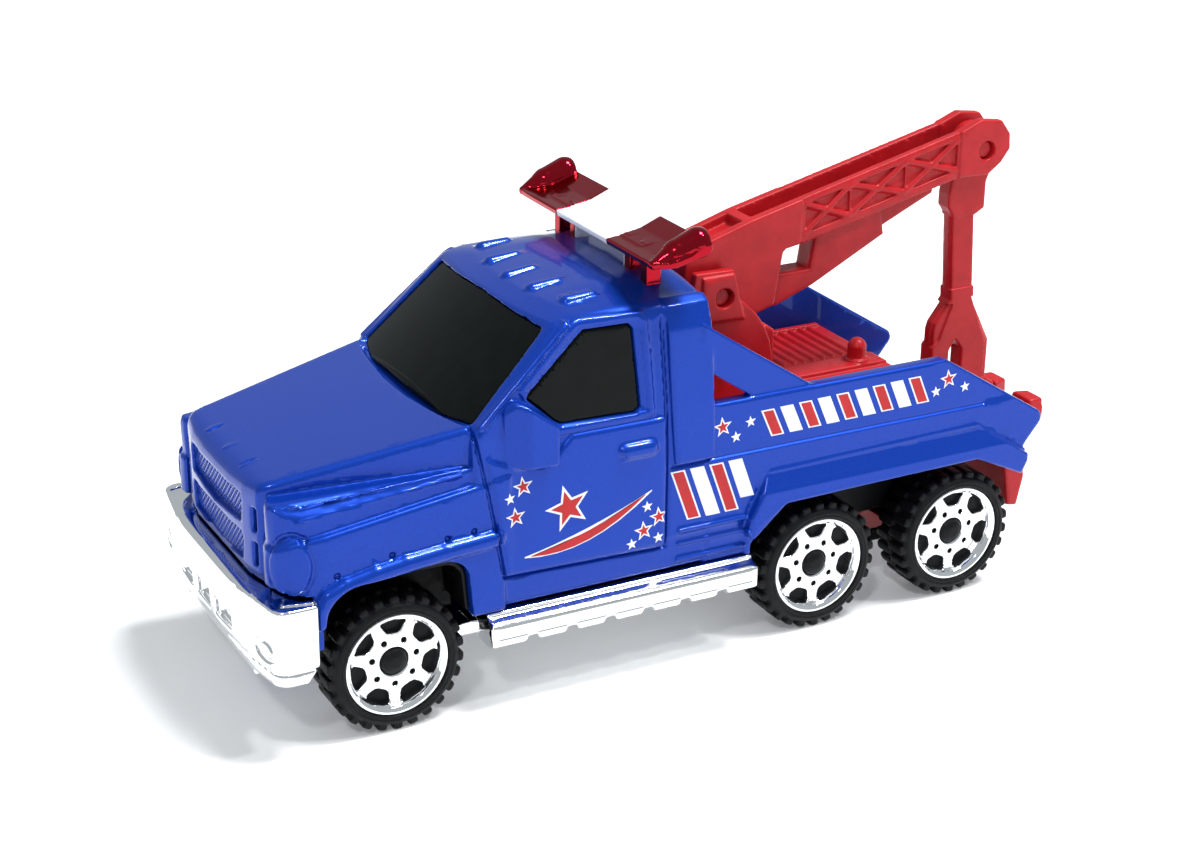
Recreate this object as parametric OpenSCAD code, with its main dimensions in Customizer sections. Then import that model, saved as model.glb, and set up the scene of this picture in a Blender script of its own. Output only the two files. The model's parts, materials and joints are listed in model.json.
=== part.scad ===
// Toy tow truck: a pocket-size die-cast wrecker with six wheels, a lifting boom and a swinging hook arm.
// +X is forward, +Y is the driver's left, +Z is up. The origin is the middle of the footprint, on the ground.

/* [Wheels] */
// Outer diameter of a tyre over its lugs
wheel_d = 11.8; // [11.4:0.1:12.0]
// Width of a tyre
wheel_w = 4.4; // [4.0:0.1:4.6]
// Lugs around one tyre
lug_count = 26; // [20:2:30]
// Radius of the plated rim disc
rim_r = 4.45; // [4.2:0.05:4.5]
// Windows in one rim disc
rim_windows = 7; // [5:1:8]
// Distance from the centre plane to a rim's outer face
rim_face_y = 12.55; // [12.4:0.05:12.6]

/* [Axles] */
// Front axle, ahead of the datum
front_axle_x = 27.3; // [27.0:0.1:27.6]
// Middle axle, from the datum
middle_axle_x = -12.4; // [-12.6:0.1:-12.2]
// Rear axle, from the datum
rear_axle_x = -27.05; // [-27.2:0.05:-26.9]
// Diameter of the steel axles
axle_d = 1.2; // [1.0:0.1:1.3]
// Radial clearance of an axle in the base
axle_clearance = 0.05; // [0.02:0.01:0.1]

/* [Body] */
// Half the width over the doors
body_half_w = 12.5; // [12.3:0.1:12.7]
// Half the width over the fender lips
fender_half_w = 13.4; // [13.2:0.1:13.6]
// Wall thickness of the casting
wall = 1.2; // [1.0:0.1:1.4]
// Height of the bed rails
rail_z = 22.9; // [22.6:0.1:23.2]
// Highest point of the cab roof
roof_z = 33.4; // [33.2:0.1:33.6]

/* [Base] */
// Foremost point of the bumper
bumper_front_x = 39.0; // [38.8:0.1:39.4]
// Half the width over the bumper
bumper_half_w = 13.7; // [13.5:0.1:13.9]
// Height of the pan above the ground
pan_z = 4.4; // [4.2:0.1:4.6]

/* [Deck] */
// Top of the deck floor
floor_z = 18.5; // [18.3:0.1:18.7]
// Rearmost point of the tow tongue
tongue_rear_x = -43.0; // [-43.4:0.1:-42.6]

/* [Boom] */
// Boom pivot, from the datum
boom_pivot_x = -7.3; // [-7.4:0.1:-7.2]
// Height of the boom pivot
boom_pivot_z = 28.5; // [28.4:0.1:28.6]
// Hook arm pivot, from the datum
hook_pivot_x = -35.5; // [-35.6:0.1:-35.4]
// Height of the hook arm pivot
hook_pivot_z = 37.7; // [37.6:0.1:37.8]
// Half the width over the boom's side plates
boom_half_w = 2.3; // [2.2:0.05:2.4]
// Radial clearance of the trunnions
pivot_clearance = 0.05; // [0.02:0.01:0.1]

/* [Hidden] */

blue = "#1c3fb0";
chrome = "#e8eaec";
red = "#cc1f26";
smoke = "#20242a";
black = "#1b1c1e";
steel = "#a8abb0";

// Moves the datum so that the origin is the middle of the whole length
origin_shift = -(bumper_front_x + tongue_rear_x) / 2;
wheel_r = wheel_d / 2;
axle_z = wheel_r;
axle_r = axle_d / 2;
bearing_r = axle_r + axle_clearance;
tyre_inner_y = rim_face_y + 0.15 - wheel_w;
// Two parts that only fit together stay this far apart
gap = 0.06;
round_fn = 48;
overcut = 1;

// Cab outline
hood_rear = [20.4, 24.1];
screen_top = [12.2, 31.5];
cab_rear_x = -1.4;
body_low_z = 8.5;
// Bed rails, joined to the cab's rear wall
bed_front_x = cab_rear_x + 0.6;
rail_inner_y = 10.9;
rail_rear_x = -35.6;
rail_slope_x = -24.7;
bed_pan_z = 15.6;
deck_low_z = 16.9;
deck_rear_x = -26.8;
tail_wall = 1.2;
// Rivet posts, from the datum
front_post_x = 32.6;
rear_post_x = -19.7;
post_r = 1.5;

// Points on an arc in the plane, from angle a0 to a1
function arc(cx, cy, r, a0, a1, n = 6) =
    [for (i = [0:n]) let (a = a0 + (a1 - a0) * i / n) [cx + r * cos(a), cy + r * sin(a)]];

// Extrudes an outline given in X and Z from y0 to y1
module side_prism(points, y0, y1)
    translate([0, y1, 0]) rotate([90, 0, 0]) linear_extrude(y1 - y0) polygon(points);

// Extrudes an outline given in Y and Z from x0 to x1
module cross_prism(points, x0, x1)
    translate([x0, 0, 0]) rotate([90, 0, 90]) linear_extrude(x1 - x0) polygon(points);

// Extrudes an outline given in X and Y from z0 to z1
module plan_prism(points, z0, z1)
    translate([0, 0, z0]) linear_extrude(z1 - z0) polygon(points);

// A box from its lowest to its highest corner
module block(low, high) translate(low) cube(high - low);

module both_sides() {
    children();
    mirror([0, 1, 0]) children();
}

module at_origin() translate([origin_shift, 0, 0]) children();

// Mirrors an outline given for the left half over the centre plane, whose own points aren't repeated
function two_halves(points) = concat(
    points,
    [for (i = [len(points) - 1:-1:0]) if (points[i][0] > 0) [-points[i][0], points[i][1]]]
);

// The same for an outline in X and Y, mirrored over the line Y = 0
function two_halves_x(points) = concat(
    points,
    [for (i = [len(points) - 1:-1:0]) [points[i][0], -points[i][1]]]
);

// ---------------------------------------------------------------- body casting

hood_side = concat(
    [[18, body_low_z], [35, body_low_z], [37.5, 13.6]],
    arc(35.4, 19.7, 2.2, 0, 82),
    [hood_rear, [18, 24.1]]
);
hood_half_plan = [
    [16, 11.6], [20, 11.4], [33, 10.5], [35.2, 10.0], [36.4, 9.3], [37.0, 8.0], [37.6, 5.8], [37.6, 0]
];
fender_side = [
    [17.5, body_low_z], [35, body_low_z], [37.4, 13.6], [37.2, 17.2], [34.8, 18.0], [20.9, 19.8], [19.7, 20.0]
];
fender_half_plan = concat(
    [[16, 12.6]], arc(33.0, 8.9, 3.7, 90, 20), [[37.2, 8.0], [37.4, 6.0], [37.4, 0]]
);
cab_side = concat(
    [[cab_rear_x, body_low_z], [20.4, body_low_z], hood_rear, screen_top],
    [[10.4, 32.2], [8, 32.6], [5.4, 33.0], [4.8, roof_z]],
    arc(0.6, roof_z - 2, 2, 90, 180)
);
cab_half_cross = concat(
    [[body_half_w, body_low_z], [body_half_w, 18.0], [12.2, 23.4], [11.1, 30.6]],
    arc(9.6, 30.6, 1.5, 12, 78),
    [[6, roof_z - 0.25], [0, roof_z]]
);
cab_hollow_side = [
    [cab_rear_x + wall, body_low_z - overcut], [19.2, body_low_z - overcut], [19.0, 23.4], [11.3, 30.3],
    [5, 31.7], [0.6, 31.9], [cab_rear_x + wall, 31.2]
];
cab_hollow_half_cross = [
    [11.3, body_low_z - overcut], [11.3, 18], [11.0, 23.4], [9.95, 30.2], [8.6, 31.5], [0, 32.1]
];
screen_half_cross = [[10.6, 24.5], [10.75, 24.9], [9.35, 30.8], [9.1, 31.15], [0, 31.6]];
side_window = [
    [15.6, 26.2], [13.1, 23.9], [12.6, 23.6], [5.9, 23.4], [5.4, 23.8], [5.7, 30.3], [6.1, 30.7], [10.2, 30.8]
];
rear_window_half_cross = [[6.2, 25.6], [6.4, 26.0], [6.2, 30.0], [5.8, 30.4], [0, 30.5]];
gusset = [[-0.4, 29.9], [-0.9, 29.6], [-11.4, 22.7], [-6.4, 22.0], [-1.4, 25.4], [-0.4, 25.4]];
rail_side = concat(
    [[bed_front_x, body_low_z], [bed_front_x, rail_z], [rail_slope_x + 0.6, rail_z]],
    arc(rail_slope_x + 0.2, rail_z - 1.2, 1.2, 80, 125, 3),
    arc(-34.9, 15.6, 0.9, 125, 210, 4),
    [[-34.4, 13.6], [-33.9, 12.9], [-28.5, 13.2], [-8.4, 13.2], [-5.4, 9.4], [-5.4, body_low_z]]
);
rail_half_cross = [
    [rail_inner_y, body_low_z - overcut], [body_half_w, body_low_z - overcut], [body_half_w, 18.0],
    [12.35, 18.4], [12.2, rail_z], [rail_inner_y, rail_z]
];
fender_band_side = [
    [-4.0, 10.6], [-6.6, 15.6], [-7.2, 16.0], [-28.4, 16.3], [-34.0, 12.7], [-34.0, 12.0], [-33.4, 10.8],
    [-28.5, 13.2], [-8.4, 13.0], [-5.2, 10.2]
];
fender_band_half_cross = [
    [rail_inner_y, 9], [fender_half_w, 9], [fender_half_w, 13.9], [12.4, 16.4], [rail_inner_y, 16.4]
];

// Inner walls of the wheel wells, clear of the base below
well_y = 7.0;
well_z = 7.6;
front_well = [[20.4, well_z], [33.2, well_z], [33.2, 21.2], [20.4, 23.0]];
rear_well = [[-25.2, well_z], [-5.4, well_z], [-5.4, bed_pan_z + wall / 2], [-25.2, bed_pan_z + wall / 2]];

// The front wheel opening, grown outwards by grow
function front_arch(grow) = concat(
    [[33.3 + grow, -overcut]],
    arc(30.4, 11.0 + 0.4 * grow, 2.9 + grow, 0, 90),
    arc(22.9, 11.9 + 0.4 * grow, 2.0 + grow, 90, 165),
    [[20.2 - grow, -overcut]]
);

module hood_block() {
    intersection() {
        side_prism(hood_side, -fender_half_w, fender_half_w);
        both_sides() plan_prism(concat(hood_half_plan, [[16, 0]]), 0, rail_z + 4);
    }
    intersection() {
        side_prism(fender_side, -fender_half_w, fender_half_w);
        both_sides() plan_prism(concat(fender_half_plan, [[16, 0]]), 0, rail_z);
    }
}

module cab_block() {
    intersection() {
        side_prism(cab_side, -fender_half_w, fender_half_w);
        cross_prism(two_halves(cab_half_cross), cab_rear_x - 1, 21);
    }
    // Raised rear pillar panels
    both_sides() intersection() {
        cross_prism(
            [[10, 18.3], [12.85, 18.3], [12.55, 23.4], [11.8, 29.6], [11.2, 30.8], [10, 31]],
            cab_rear_x, 2.9
        );
        side_prism([[cab_rear_x, 18.3], [2.5, 18.3], [2.9, 24], [2.9, 31], [cab_rear_x, 31]], 10, 13);
    }
}

module bed_rails() both_sides() {
    intersection() {
        side_prism(rail_side, rail_inner_y, fender_half_w);
        cross_prism(rail_half_cross, -40, 3);
    }
    intersection() {
        side_prism(fender_band_side, rail_inner_y, fender_half_w);
        cross_prism(fender_band_half_cross, -36, -3);
    }
    side_prism(gusset, 10.9, 12.0);
    // Ridge under the trim band
    side_prism([[-2, 17.9], [-2, 18.4], [-29.2, 18.4], [-28.7, 17.9]], 12, 12.7);
}

module door_details() both_sides() {
    // Door handle
    side_prism(concat(arc(4.5, 20.3, 0.65, 90, 270), arc(7.2, 20.3, 0.65, -90, 90)), 12.0, 12.85);
    // Mirror with its arm
    plan_prism([[13.6, 12.1], [13.6, 13.9], [15.2, 13.9], [16.6, 12.9], [16.6, 12.1]], 21.8, 25.2);
    // Front arch lip with its trailing ridge
    difference() {
        union() {
            side_prism(front_arch(0.75), 12, 13.25);
            side_prism([[26, 13.6], [26, 14.6], [18.9, 15.4], [18.9, 14.6]], 12, 13.0);
        }
        side_prism(front_arch(0), 11, 14);
        block([15, 11, -2], [40, 14, 11]);
    }
    // Hood shut line moulding
    side_prism([[21.2, 21.0], [21.2, 21.5], [35.0, 21.2], [36.0, 20.7], [35.0, 20.6]], 10.4, 11.75);
}

module shut_lines() both_sides() {
    depth = 0.3;
    for (line = [
        [[20.3, 24.6], [17.9, 11.4], 0.3],
        [[18.1, 11.55], [2.9, 11.1], 0.3],
        [[3.15, 18.0], [3.0, 11.1], 0.3]
    ])
        side_prism([line[0], line[1], line[1] + [line[2], line[2] / 3], line[0] + [line[2], line[2] / 3]],
            body_half_w - depth, 14);
    // Locker louvres
    for (z = [9.5, 10.9, 12.2]) block([-4.4, body_half_w - depth, z], [1.9, 14, z + 0.3]);
}

module grille_openings() {
    for (z = [14.5, 17.4]) intersection() {
        cross_prism(two_halves([[5.6, z + 0.4], [5.9, z + 2.2], [5.6, z + 2.5]]), 36.4, 40);
        block([36.4, -6, z], [40, 6, z + 2.5]);
    }
    both_sides() for (z = [14.6, 17.5]) block([36.2, 7.3, z], [40, 7.9, z + 1.9]);
}

module roof_markers() for (i = [-2:2])
    translate([9.4 - 0.28 * i * i, 3.9 * i, 32.35 - 0.06 * i * i]) rotate([0, 100, 0])
        cylinder(r1 = 0.55, r2 = 0.2, h = 3, $fn = 20, center = true);

module rivet_post(x, top_z) {
    translate([x, 0, pan_z - 0.3]) cylinder(r = post_r, h = top_z - pan_z + 0.3, $fn = round_fn);
    // Spun head under the base
    translate([x, 0, pan_z - 0.5]) cylinder(r = post_r + 0.7, h = 0.5, $fn = round_fn);
}

module body_casting() color(blue) at_origin() {
    difference() {
        union() {
            hood_block();
            cab_block();
            bed_rails();
            door_details();
            roof_markers();
        }
        // Engine bay and footwell, open below
        side_prism(
            [[10, 0], [36.2, 0], [36.2, 18.9], [35.0, 20.6], [19.0, 22.8], [10, 22.8]],
            -9.0, 9.0
        );
        side_prism([[10, 0], [35.4, 0], [34.4, 17.4], [20.0, 19.2], [10, 19.2]], -11.3, 11.3);
        intersection() {
            side_prism(cab_hollow_side, -12, 12);
            cross_prism(two_halves(cab_hollow_half_cross), -2, 21);
        }
        cross_prism(two_halves(screen_half_cross), 11.0, 22);
        side_prism(side_window, -15, 15);
        cross_prism(two_halves(rear_window_half_cross), -3, 2);
        side_prism(front_arch(0), -15, 15);
        // Room for the bumper behind the nose
        block([32.9, -16, -2], [40, 16, 13.5]);
        shut_lines();
        grille_openings();
    }
    // Cast pan under the deck
    difference() {
        block([deck_rear_x + tail_wall + gap, -11.2, bed_pan_z], [cab_rear_x + 0.5, 11.2, bed_pan_z + wall]);
        // Opening under the tower
        block([-8.5, -4, bed_pan_z - overcut], [-4.5, 4, bed_pan_z + 2 * wall]);
    }
    both_sides() for (well = [front_well, rear_well]) side_prism(well, well_y, well_y + wall);
    rivet_post(front_post_x, 21.6);
    rivet_post(rear_post_x, bed_pan_z + wall / 2);
}

// ---------------------------------------------------------------- base

bumper_rear_x = 33.6;
bumper_half_plan = concat(
    [[bumper_rear_x, 12.4], [bumper_rear_x, bumper_half_w], [36.6, bumper_half_w]],
    arc(36.4, bumper_half_w - 1.4, 1.4, 85, 20, 4),
    [[38.5, 8.0], [bumper_front_x, 3.5], [bumper_front_x, 0], [36.9, 0], [36.9, 6.0], [35.8, 11.2]]
);
step_notches = 7;
step_front_x = 19.4;
step_rear_x = -5.6;
step_cross = [
    [10.6, 5.6], [13.5, 5.6], [13.5, 7.6], [12.45, 8.15], [12.45, body_low_z - gap], [10.6, body_low_z - gap]
];

module axle_bearing(x) difference() {
    block([x - 1.7, -tyre_inner_y + 0.35, pan_z], [x + 1.7, tyre_inner_y - 0.35, axle_z + 1.5]);
    translate([x, -20, axle_z]) rotate([-90, 0, 0]) cylinder(r = bearing_r, h = 40, $fn = round_fn);
    // Only the two ends carry the axle
    block([x - 1.0, -5.6, pan_z + 0.9], [x + 1.0, 5.6, 20]);
}

module post_hole(x) {
    translate([x, 0, 0]) cylinder(r = post_r + gap, h = 12, $fn = round_fn);
    translate([x, 0, 0]) cylinder(r = post_r + 0.7 + gap, h = pan_z + 0.1, $fn = round_fn);
}

module side_step() {
    length = step_front_x - step_rear_x;
    pitch = length / step_notches;
    difference() {
        union() {
            // Tread, sloping ledge and the wall under the body's edge
            cross_prism(step_cross, step_rear_x, step_front_x);
            block([step_rear_x + 0.3, 6, pan_z + 1.2], [step_front_x - 0.5, 11.0, 6.8]);
        }
        for (i = [1:step_notches - 1])
            side_prism(
                [for (p = [[-0.9, 5.5], [-0.5, 6.1], [0.5, 6.1], [0.9, 5.5]])
                    p + [step_rear_x + i * pitch, 0]],
                12.2, 14
            );
    }
}

module bumper() {
    difference() {
        both_sides() plan_prism(bumper_half_plan, 6.6, 13.3);
        // Three slots across the middle
        for (y = [-4.4, 0, 4.4]) block([38.2, y - 1.7, 8.6], [40, y + 1.7, 10.2]);
        // The middle hangs less low than the corners
        block([30, -5.2, 6], [40, 5.2, 7.2]);
    }
    block([bumper_rear_x, -7.4, pan_z + 0.6], [37.4, 7.4, 8.0]);
    both_sides() block([bumper_rear_x, 6.5, 7.2], [36.4, 13.0, 9.0]);
}

module baseplate() color(chrome) at_origin() difference() {
    union() {
        block([-31, -tyre_inner_y + 0.35, pan_z], [34, tyre_inner_y - 0.35, pan_z + 1.3]);
        for (x = [front_axle_x, middle_axle_x, rear_axle_x]) axle_bearing(x);
        both_sides() side_step();
        bumper();
    }
    for (x = [front_axle_x, middle_axle_x, rear_axle_x])
        translate([x, -20, axle_z]) rotate([-90, 0, 0]) cylinder(r = bearing_r, h = 40, $fn = round_fn);
    post_hole(front_post_x);
    post_hole(rear_post_x);
}

// ---------------------------------------------------------------- window insert

// The cab's hollow, shrunk by inset on all sides
module cab_filler(inset) intersection() {
    translate([0, 12, 0]) rotate([90, 0, 0]) linear_extrude(24)
        offset(delta = -inset) polygon(cab_hollow_side);
    translate([-2, 0, 0]) rotate([90, 0, 90]) linear_extrude(23)
        offset(delta = -inset) polygon(two_halves(cab_hollow_half_cross));
}

module window_insert() color(smoke) at_origin() difference() {
    union() {
        cab_filler(gap);
        intersection() {
            translate([0, 14, 0]) rotate([90, 0, 0]) linear_extrude(28)
                offset(delta = -0.25) polygon(cab_side);
            translate([-2, 0, 0]) rotate([90, 0, 90]) linear_extrude(24)
                offset(delta = -0.25) polygon(two_halves(cab_half_cross));
            union() {
                translate([11.2, 0, 0]) rotate([90, 0, 90]) linear_extrude(10)
                    offset(delta = -gap) polygon(two_halves(screen_half_cross));
                translate([0, 14, 0]) rotate([90, 0, 0]) linear_extrude(28)
                    offset(delta = -gap) polygon(side_window);
                translate([-2, 0, 0]) rotate([90, 0, 90]) linear_extrude(3)
                    offset(delta = -gap) polygon(two_halves(rear_window_half_cross));
            }
        }
    }
    cab_filler(1.1);
    block([-10, -20, 0], [30, 20, 22.4]);
}

// ---------------------------------------------------------------- light bar

bar_front = [4.7, 35.9];
bar_rear = [-0.5, 37.1];
bar_half_w = 12.6;
bar_t = 0.9;
leg_foot_z = roof_z - 1.1;

module light_bar() color(chrome) at_origin() {
    side_prism(
        [bar_front, bar_rear, bar_rear - [0, bar_t], bar_front - [0.1, bar_t]],
        -bar_half_w, bar_half_w
    );
    both_sides() {
        // Lamp pod along the end
        hull() {
            side_prism([bar_rear, bar_rear - [0, bar_t], bar_rear + [2, 0.4], bar_rear + [0, 0.9]],
                bar_half_w - 2.6, bar_half_w + 0.3);
            side_prism([bar_front, bar_front - [0, bar_t]], bar_half_w - 1.0, bar_half_w + 0.1);
            side_prism([bar_front - [0.4, 0], bar_front - [0.4, bar_t], bar_front - [0.1, 0.2]],
                bar_half_w - 1.0, bar_half_w + 0.1);
        }
        // Legs down to the roof
        for (y = [4.2, 7.1])
            side_prism([[2.9, 36.0], [2.9, leg_foot_z], [1.5, leg_foot_z], [1.5, 36.2]], y, y + 1.1);
        side_prism([[3.3, 36.0], [3.1, 34.9], [1.3, 34.9], [1.0, 36.2]], 4.2, 8.2);
    }
    // Reflector fin under the middle
    side_prism([[3.4, 35.9], [2.2, roof_z + 0.4], [1.6, roof_z + 0.4], [2.4, 36.2]], -4.2, 4.2);
}

// ---------------------------------------------------------------- deck

ear_side = [
    [-3.0, floor_z - 0.6], [-3.6, 26.2], [-4.5, 31.0], [-8.3, 30.9], [-8.9, 28.3], [-10.0, 27.3],
    [-10.8, 26.5],
    [-11.6, 25.3], [-12.2, 23.9], [-12.5, 22.6], [-12.7, floor_z - 0.6]
];
// Web between the ears, under the boom's root
tower_web = [[-3.2, floor_z - 0.6], [-3.2, 24.6], [-12.4, 25.0], [-13.2, 24.4], [-13.2, floor_z - 0.6]];
rib_count = 11;
shelf_z = 12.4;
apron_x = -34.9;

module deck_floor() {
    block([deck_rear_x, -rail_inner_y + gap, deck_low_z], [cab_rear_x - gap, rail_inner_y - gap, floor_z]);
    block([deck_rear_x, -1.3, deck_low_z], [-12, 1.3, floor_z + 0.4]);
    both_sides() for (i = [0:rib_count - 1])
        translate([-14.6 - 1.08 * i, 0, 0]) block([-0.4, 2.3, floor_z - 0.2], [0, 10.2, floor_z + 0.25]);
    translate([-24.0, 0, floor_z]) cylinder(r = 0.85, h = 1.9, $fn = round_fn);
    translate([-24.0, 0, floor_z + 1.9]) sphere(r = 0.85, $fn = round_fn);
}

module deck_tail() {
    // Drop behind the floor, clear of the rear tyres, and a narrower shelf down between them
    block([deck_rear_x, -rail_inner_y + gap, shelf_z - 0.3],
          [deck_rear_x + tail_wall, rail_inner_y - gap, floor_z]);
    block([apron_x, -tyre_inner_y + 0.4, shelf_z - 1.6],
          [deck_rear_x + tail_wall, tyre_inner_y - 0.4, shelf_z]);
    // Apron behind the rear wheels
    side_prism([
        [apron_x + 1.4, shelf_z], [apron_x + 1.4, 11.0], [apron_x + 0.6, 6.4], [apron_x - 0.5, 6.2],
        [apron_x - 1.1, 9.0], [apron_x - 0.7, shelf_z]
    ], -10.6, 10.6);
    // Tow tongue with a raised rear edge and a notch
    difference() {
        union() {
            plan_prism(
                two_halves_x([[apron_x, 5.2], [-38, 4.2], [tongue_rear_x, 4.0]]),
                shelf_z - 1.2, shelf_z
            );
            block([tongue_rear_x, -4.0, shelf_z - 1.2], [tongue_rear_x + 1.6, 4.0, shelf_z + 0.8]);
        }
        plan_prism(
            two_halves_x([[-40.8, 1.0], [tongue_rear_x - overcut, 2.0]]),
            shelf_z - 2, shelf_z + 2
        );
    }
}

module tower() difference() {
    union() {
        side_prism(tower_web, -2.8, 2.8);
        both_sides() {
            side_prism(ear_side, 2.75, 3.65);
            side_prism([[-5.1, 26.4], [-5.1, 30.6], [-9.0, 30.6], [-9.0, 26.4]], 3.65, 4.1);
        }
    }
    translate([boom_pivot_x, -10, boom_pivot_z]) rotate([-90, 0, 0])
        cylinder(r = 0.8 + pivot_clearance, h = 20, $fn = round_fn);
}

module deck_insert() color(red) at_origin() {
    deck_floor();
    deck_tail();
    tower();
}

// ---------------------------------------------------------------- boom

boom_top_front = [-10.9, 34.5];
boom_top_rear = [-32.4, 39.7];
boom_low_front = [-16.2, 31.6];
boom_low_rear = [-32.8, 35.5];
boom_plate = concat(
    [[-4.4, 33.0], [-6.7, 33.2], boom_top_front, boom_top_rear, [-34.7, 40.6], [-37.0, 40.3], [-38.0, 39.0]],
    [[-38.1, 37.6], [-37.2, 36.4], [-35.8, 35.4], boom_low_rear, boom_low_front, [-14.2, 31.2]],
    [[-13.4, 26.4], [-10.5, 25.6], [-6.0, 26.0], [-4.2, 29.0]]
);
boom_root = [
    [-4.4, 33.0], [-6.7, 33.2], [-10.9, 34.3], [-14.2, 31.4], [-13.4, 26.4], [-10.5, 25.6], [-6.0, 26.0],
    [-4.2, 29.0]
];
lift_barrel = [
    [-12.6, 26.2], [-12.6, 28.4], [-14.5, 28.9], [-17.6, 28.9], [-18.1, 32.3], [-24.9, 34.0], [-25.4, 31.0],
    [-18.0, 27.3], [-14.2, 25.9]
];
// The trunnions end inside the ears, and the hook's pin inside the side plates
trunnion_y = 3.3;
hook_pin_y = boom_half_w - 0.5;
// Truss windows in the side plates: each is a stretch of the beam's length
truss_bays = 3;
truss_depth = 0.35;

// A point along the beam at share t of its length and height h above its lower edge
function beam_point(t, h) = let (
    low = boom_low_front + t * (boom_low_rear - boom_low_front),
    top = [low[0] + 0.1, boom_top_front[1] + (low[0] - boom_top_front[0])
        * (boom_top_rear[1] - boom_top_front[1]) / (boom_top_rear[0] - boom_top_front[0])]
) low + h * (top - low);

module truss_bay(t0, t1) {
    // Two triangles above and below, and two at the sides, leave an X of braces
    m = (t0 + t1) / 2;
    e = 0.012;
    side_prism([beam_point(t0 + 2 * e, 0.82), beam_point(t1 - 2 * e, 0.82), beam_point(m, 0.58)], 0, 5);
    side_prism([beam_point(t0 + 2 * e, 0.18), beam_point(t1 - 2 * e, 0.18), beam_point(m, 0.42)], 0, 5);
    side_prism([beam_point(t0 + e, 0.75), beam_point(t0 + e, 0.25), beam_point(m - 2 * e, 0.5)], 0, 5);
    side_prism([beam_point(t1 - e, 0.75), beam_point(t1 - e, 0.25), beam_point(m + 2 * e, 0.5)], 0, 5);
}

module boom() color(red) at_origin() {
    both_sides() difference() {
        side_prism(boom_plate, boom_half_w - 1.0, boom_half_w);
        translate([hook_pivot_x, 0, hook_pivot_z]) rotate([-90, 0, 0])
            cylinder(r = 0.8 + pivot_clearance, h = 10, $fn = round_fn);
        translate([0, boom_half_w - truss_depth, 0]) for (i = [0:truss_bays - 1])
            truss_bay(0.02 + 0.32 * i, 0.02 + 0.32 * (i + 1));
    }
    // Web between the plates, and the root block
    side_prism(boom_root, -boom_half_w + 0.5, boom_half_w - 0.5);
    side_prism([[-13, 31.3], [-13, 32.6], [-29.5, 36.6], [-29.5, 35.2]],
               -boom_half_w + 0.5, boom_half_w - 0.5);
    side_prism([[-10.2, 33.4], [-10.2, 34.4], [-11.2, 34.7], [-11.2, 33.4]],
               -boom_half_w + 0.5, boom_half_w - 0.5);
    // Moulded lift cylinder under the beam: barrel and rod
    side_prism(lift_barrel, -1.25, 1.25);
    side_prism([[-24.6, 34.0], [-31.0, 35.4], [-30.8, 34.0], [-25.2, 31.5]], -0.8, 0.8);
    // Trunnions in the tower's ears
    translate([boom_pivot_x, -trunnion_y, boom_pivot_z]) rotate([-90, 0, 0])
        cylinder(r = 0.8, h = 2 * trunnion_y, $fn = round_fn);
}

// ---------------------------------------------------------------- hook arm

hook_outline = [
    [-33.3, 37.7], [-32.6, 33.6], [-32.6, 32.4], [-33.1, 31.7], [-33.6, 23.4], [-32.0, 21.3], [-31.8, 20.6],
    [-31.8, 14.2], [-33.9, 14.2], [-33.9, 18.4], [-34.5, 19.4], [-35.3, 18.4], [-35.3, 13.4], [-39.4, 13.4],
    [-39.4, 14.4], [-38.7, 14.8], [-38.7, 18.6], [-36.3, 23.2], [-35.8, 31.4], [-36.7, 31.9], [-36.7, 34.4],
    [-37.6, 36.6]
];

module hook_arm() color(red) at_origin() {
    side_prism(hook_outline, -0.9, 0.9);
    translate([hook_pivot_x, -0.9, hook_pivot_z]) rotate([-90, 0, 0])
        cylinder(r = 2.2, h = 1.8, $fn = round_fn);
    translate([hook_pivot_x, -hook_pin_y, hook_pivot_z]) rotate([-90, 0, 0])
        cylinder(r = 0.8, h = 2 * hook_pin_y, $fn = round_fn);
}

// ---------------------------------------------------------------- wheels and axles

module axle(x) color(steel) at_origin()
    translate([x, -rim_face_y + 2.4, axle_z]) rotate([-90, 0, 0])
        cylinder(r = axle_r, h = 2 * (rim_face_y - 2.4), $fn = round_fn);

// Places a left wheel part at axle x; side is 1 on the left and -1 on the right
module at_wheel(x, side) at_origin() translate([x, 0, axle_z])
    if (side > 0) children(); else mirror([0, 1, 0]) children();

// Turns a radius and width profile about Y
module turned(points) rotate([-90, 0, 0]) rotate_extrude($fn = 96) polygon(points);

module lug_ring(y0, y1, offset_deg) intersection() {
    turned([[wheel_r - 0.6, y0], [wheel_r, y0], [wheel_r, y1], [wheel_r - 0.6, y1]]);
    for (i = [0:lug_count - 1]) rotate([0, 90 + (i * 360 / lug_count) + offset_deg, 0])
        block([wheel_r - 1.5, y0 - 1, -0.42], [wheel_r + 1, y1 + 1, 0.42]);
}

module wheel(x, side) color(black) at_wheel(x, side) {
    outer_y = rim_face_y + 0.15;
    mid_y = outer_y - wheel_w / 2;
    difference() {
        turned([
            [0, tyre_inner_y + 0.9], [4.0, tyre_inner_y + 0.9], [4.3, tyre_inner_y], [5.2, tyre_inner_y],
            [5.5, tyre_inner_y + 0.4], [5.5, outer_y - 0.4], [5.2, outer_y],
            [rim_r, outer_y], [rim_r, rim_face_y - 0.9], [1.15, rim_face_y - 0.9], [1.15, rim_face_y - 0.5],
            [0.8, rim_face_y - 0.2], [0, rim_face_y - 0.1]
        ]);
        rotate([-90, 0, 0]) cylinder(r = axle_r, h = rim_face_y - 2.4, $fn = round_fn);
    }
    lug_ring(mid_y, outer_y - 0.1, 0);
    lug_ring(tyre_inner_y + 0.1, mid_y, 180 / lug_count);
}

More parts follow.
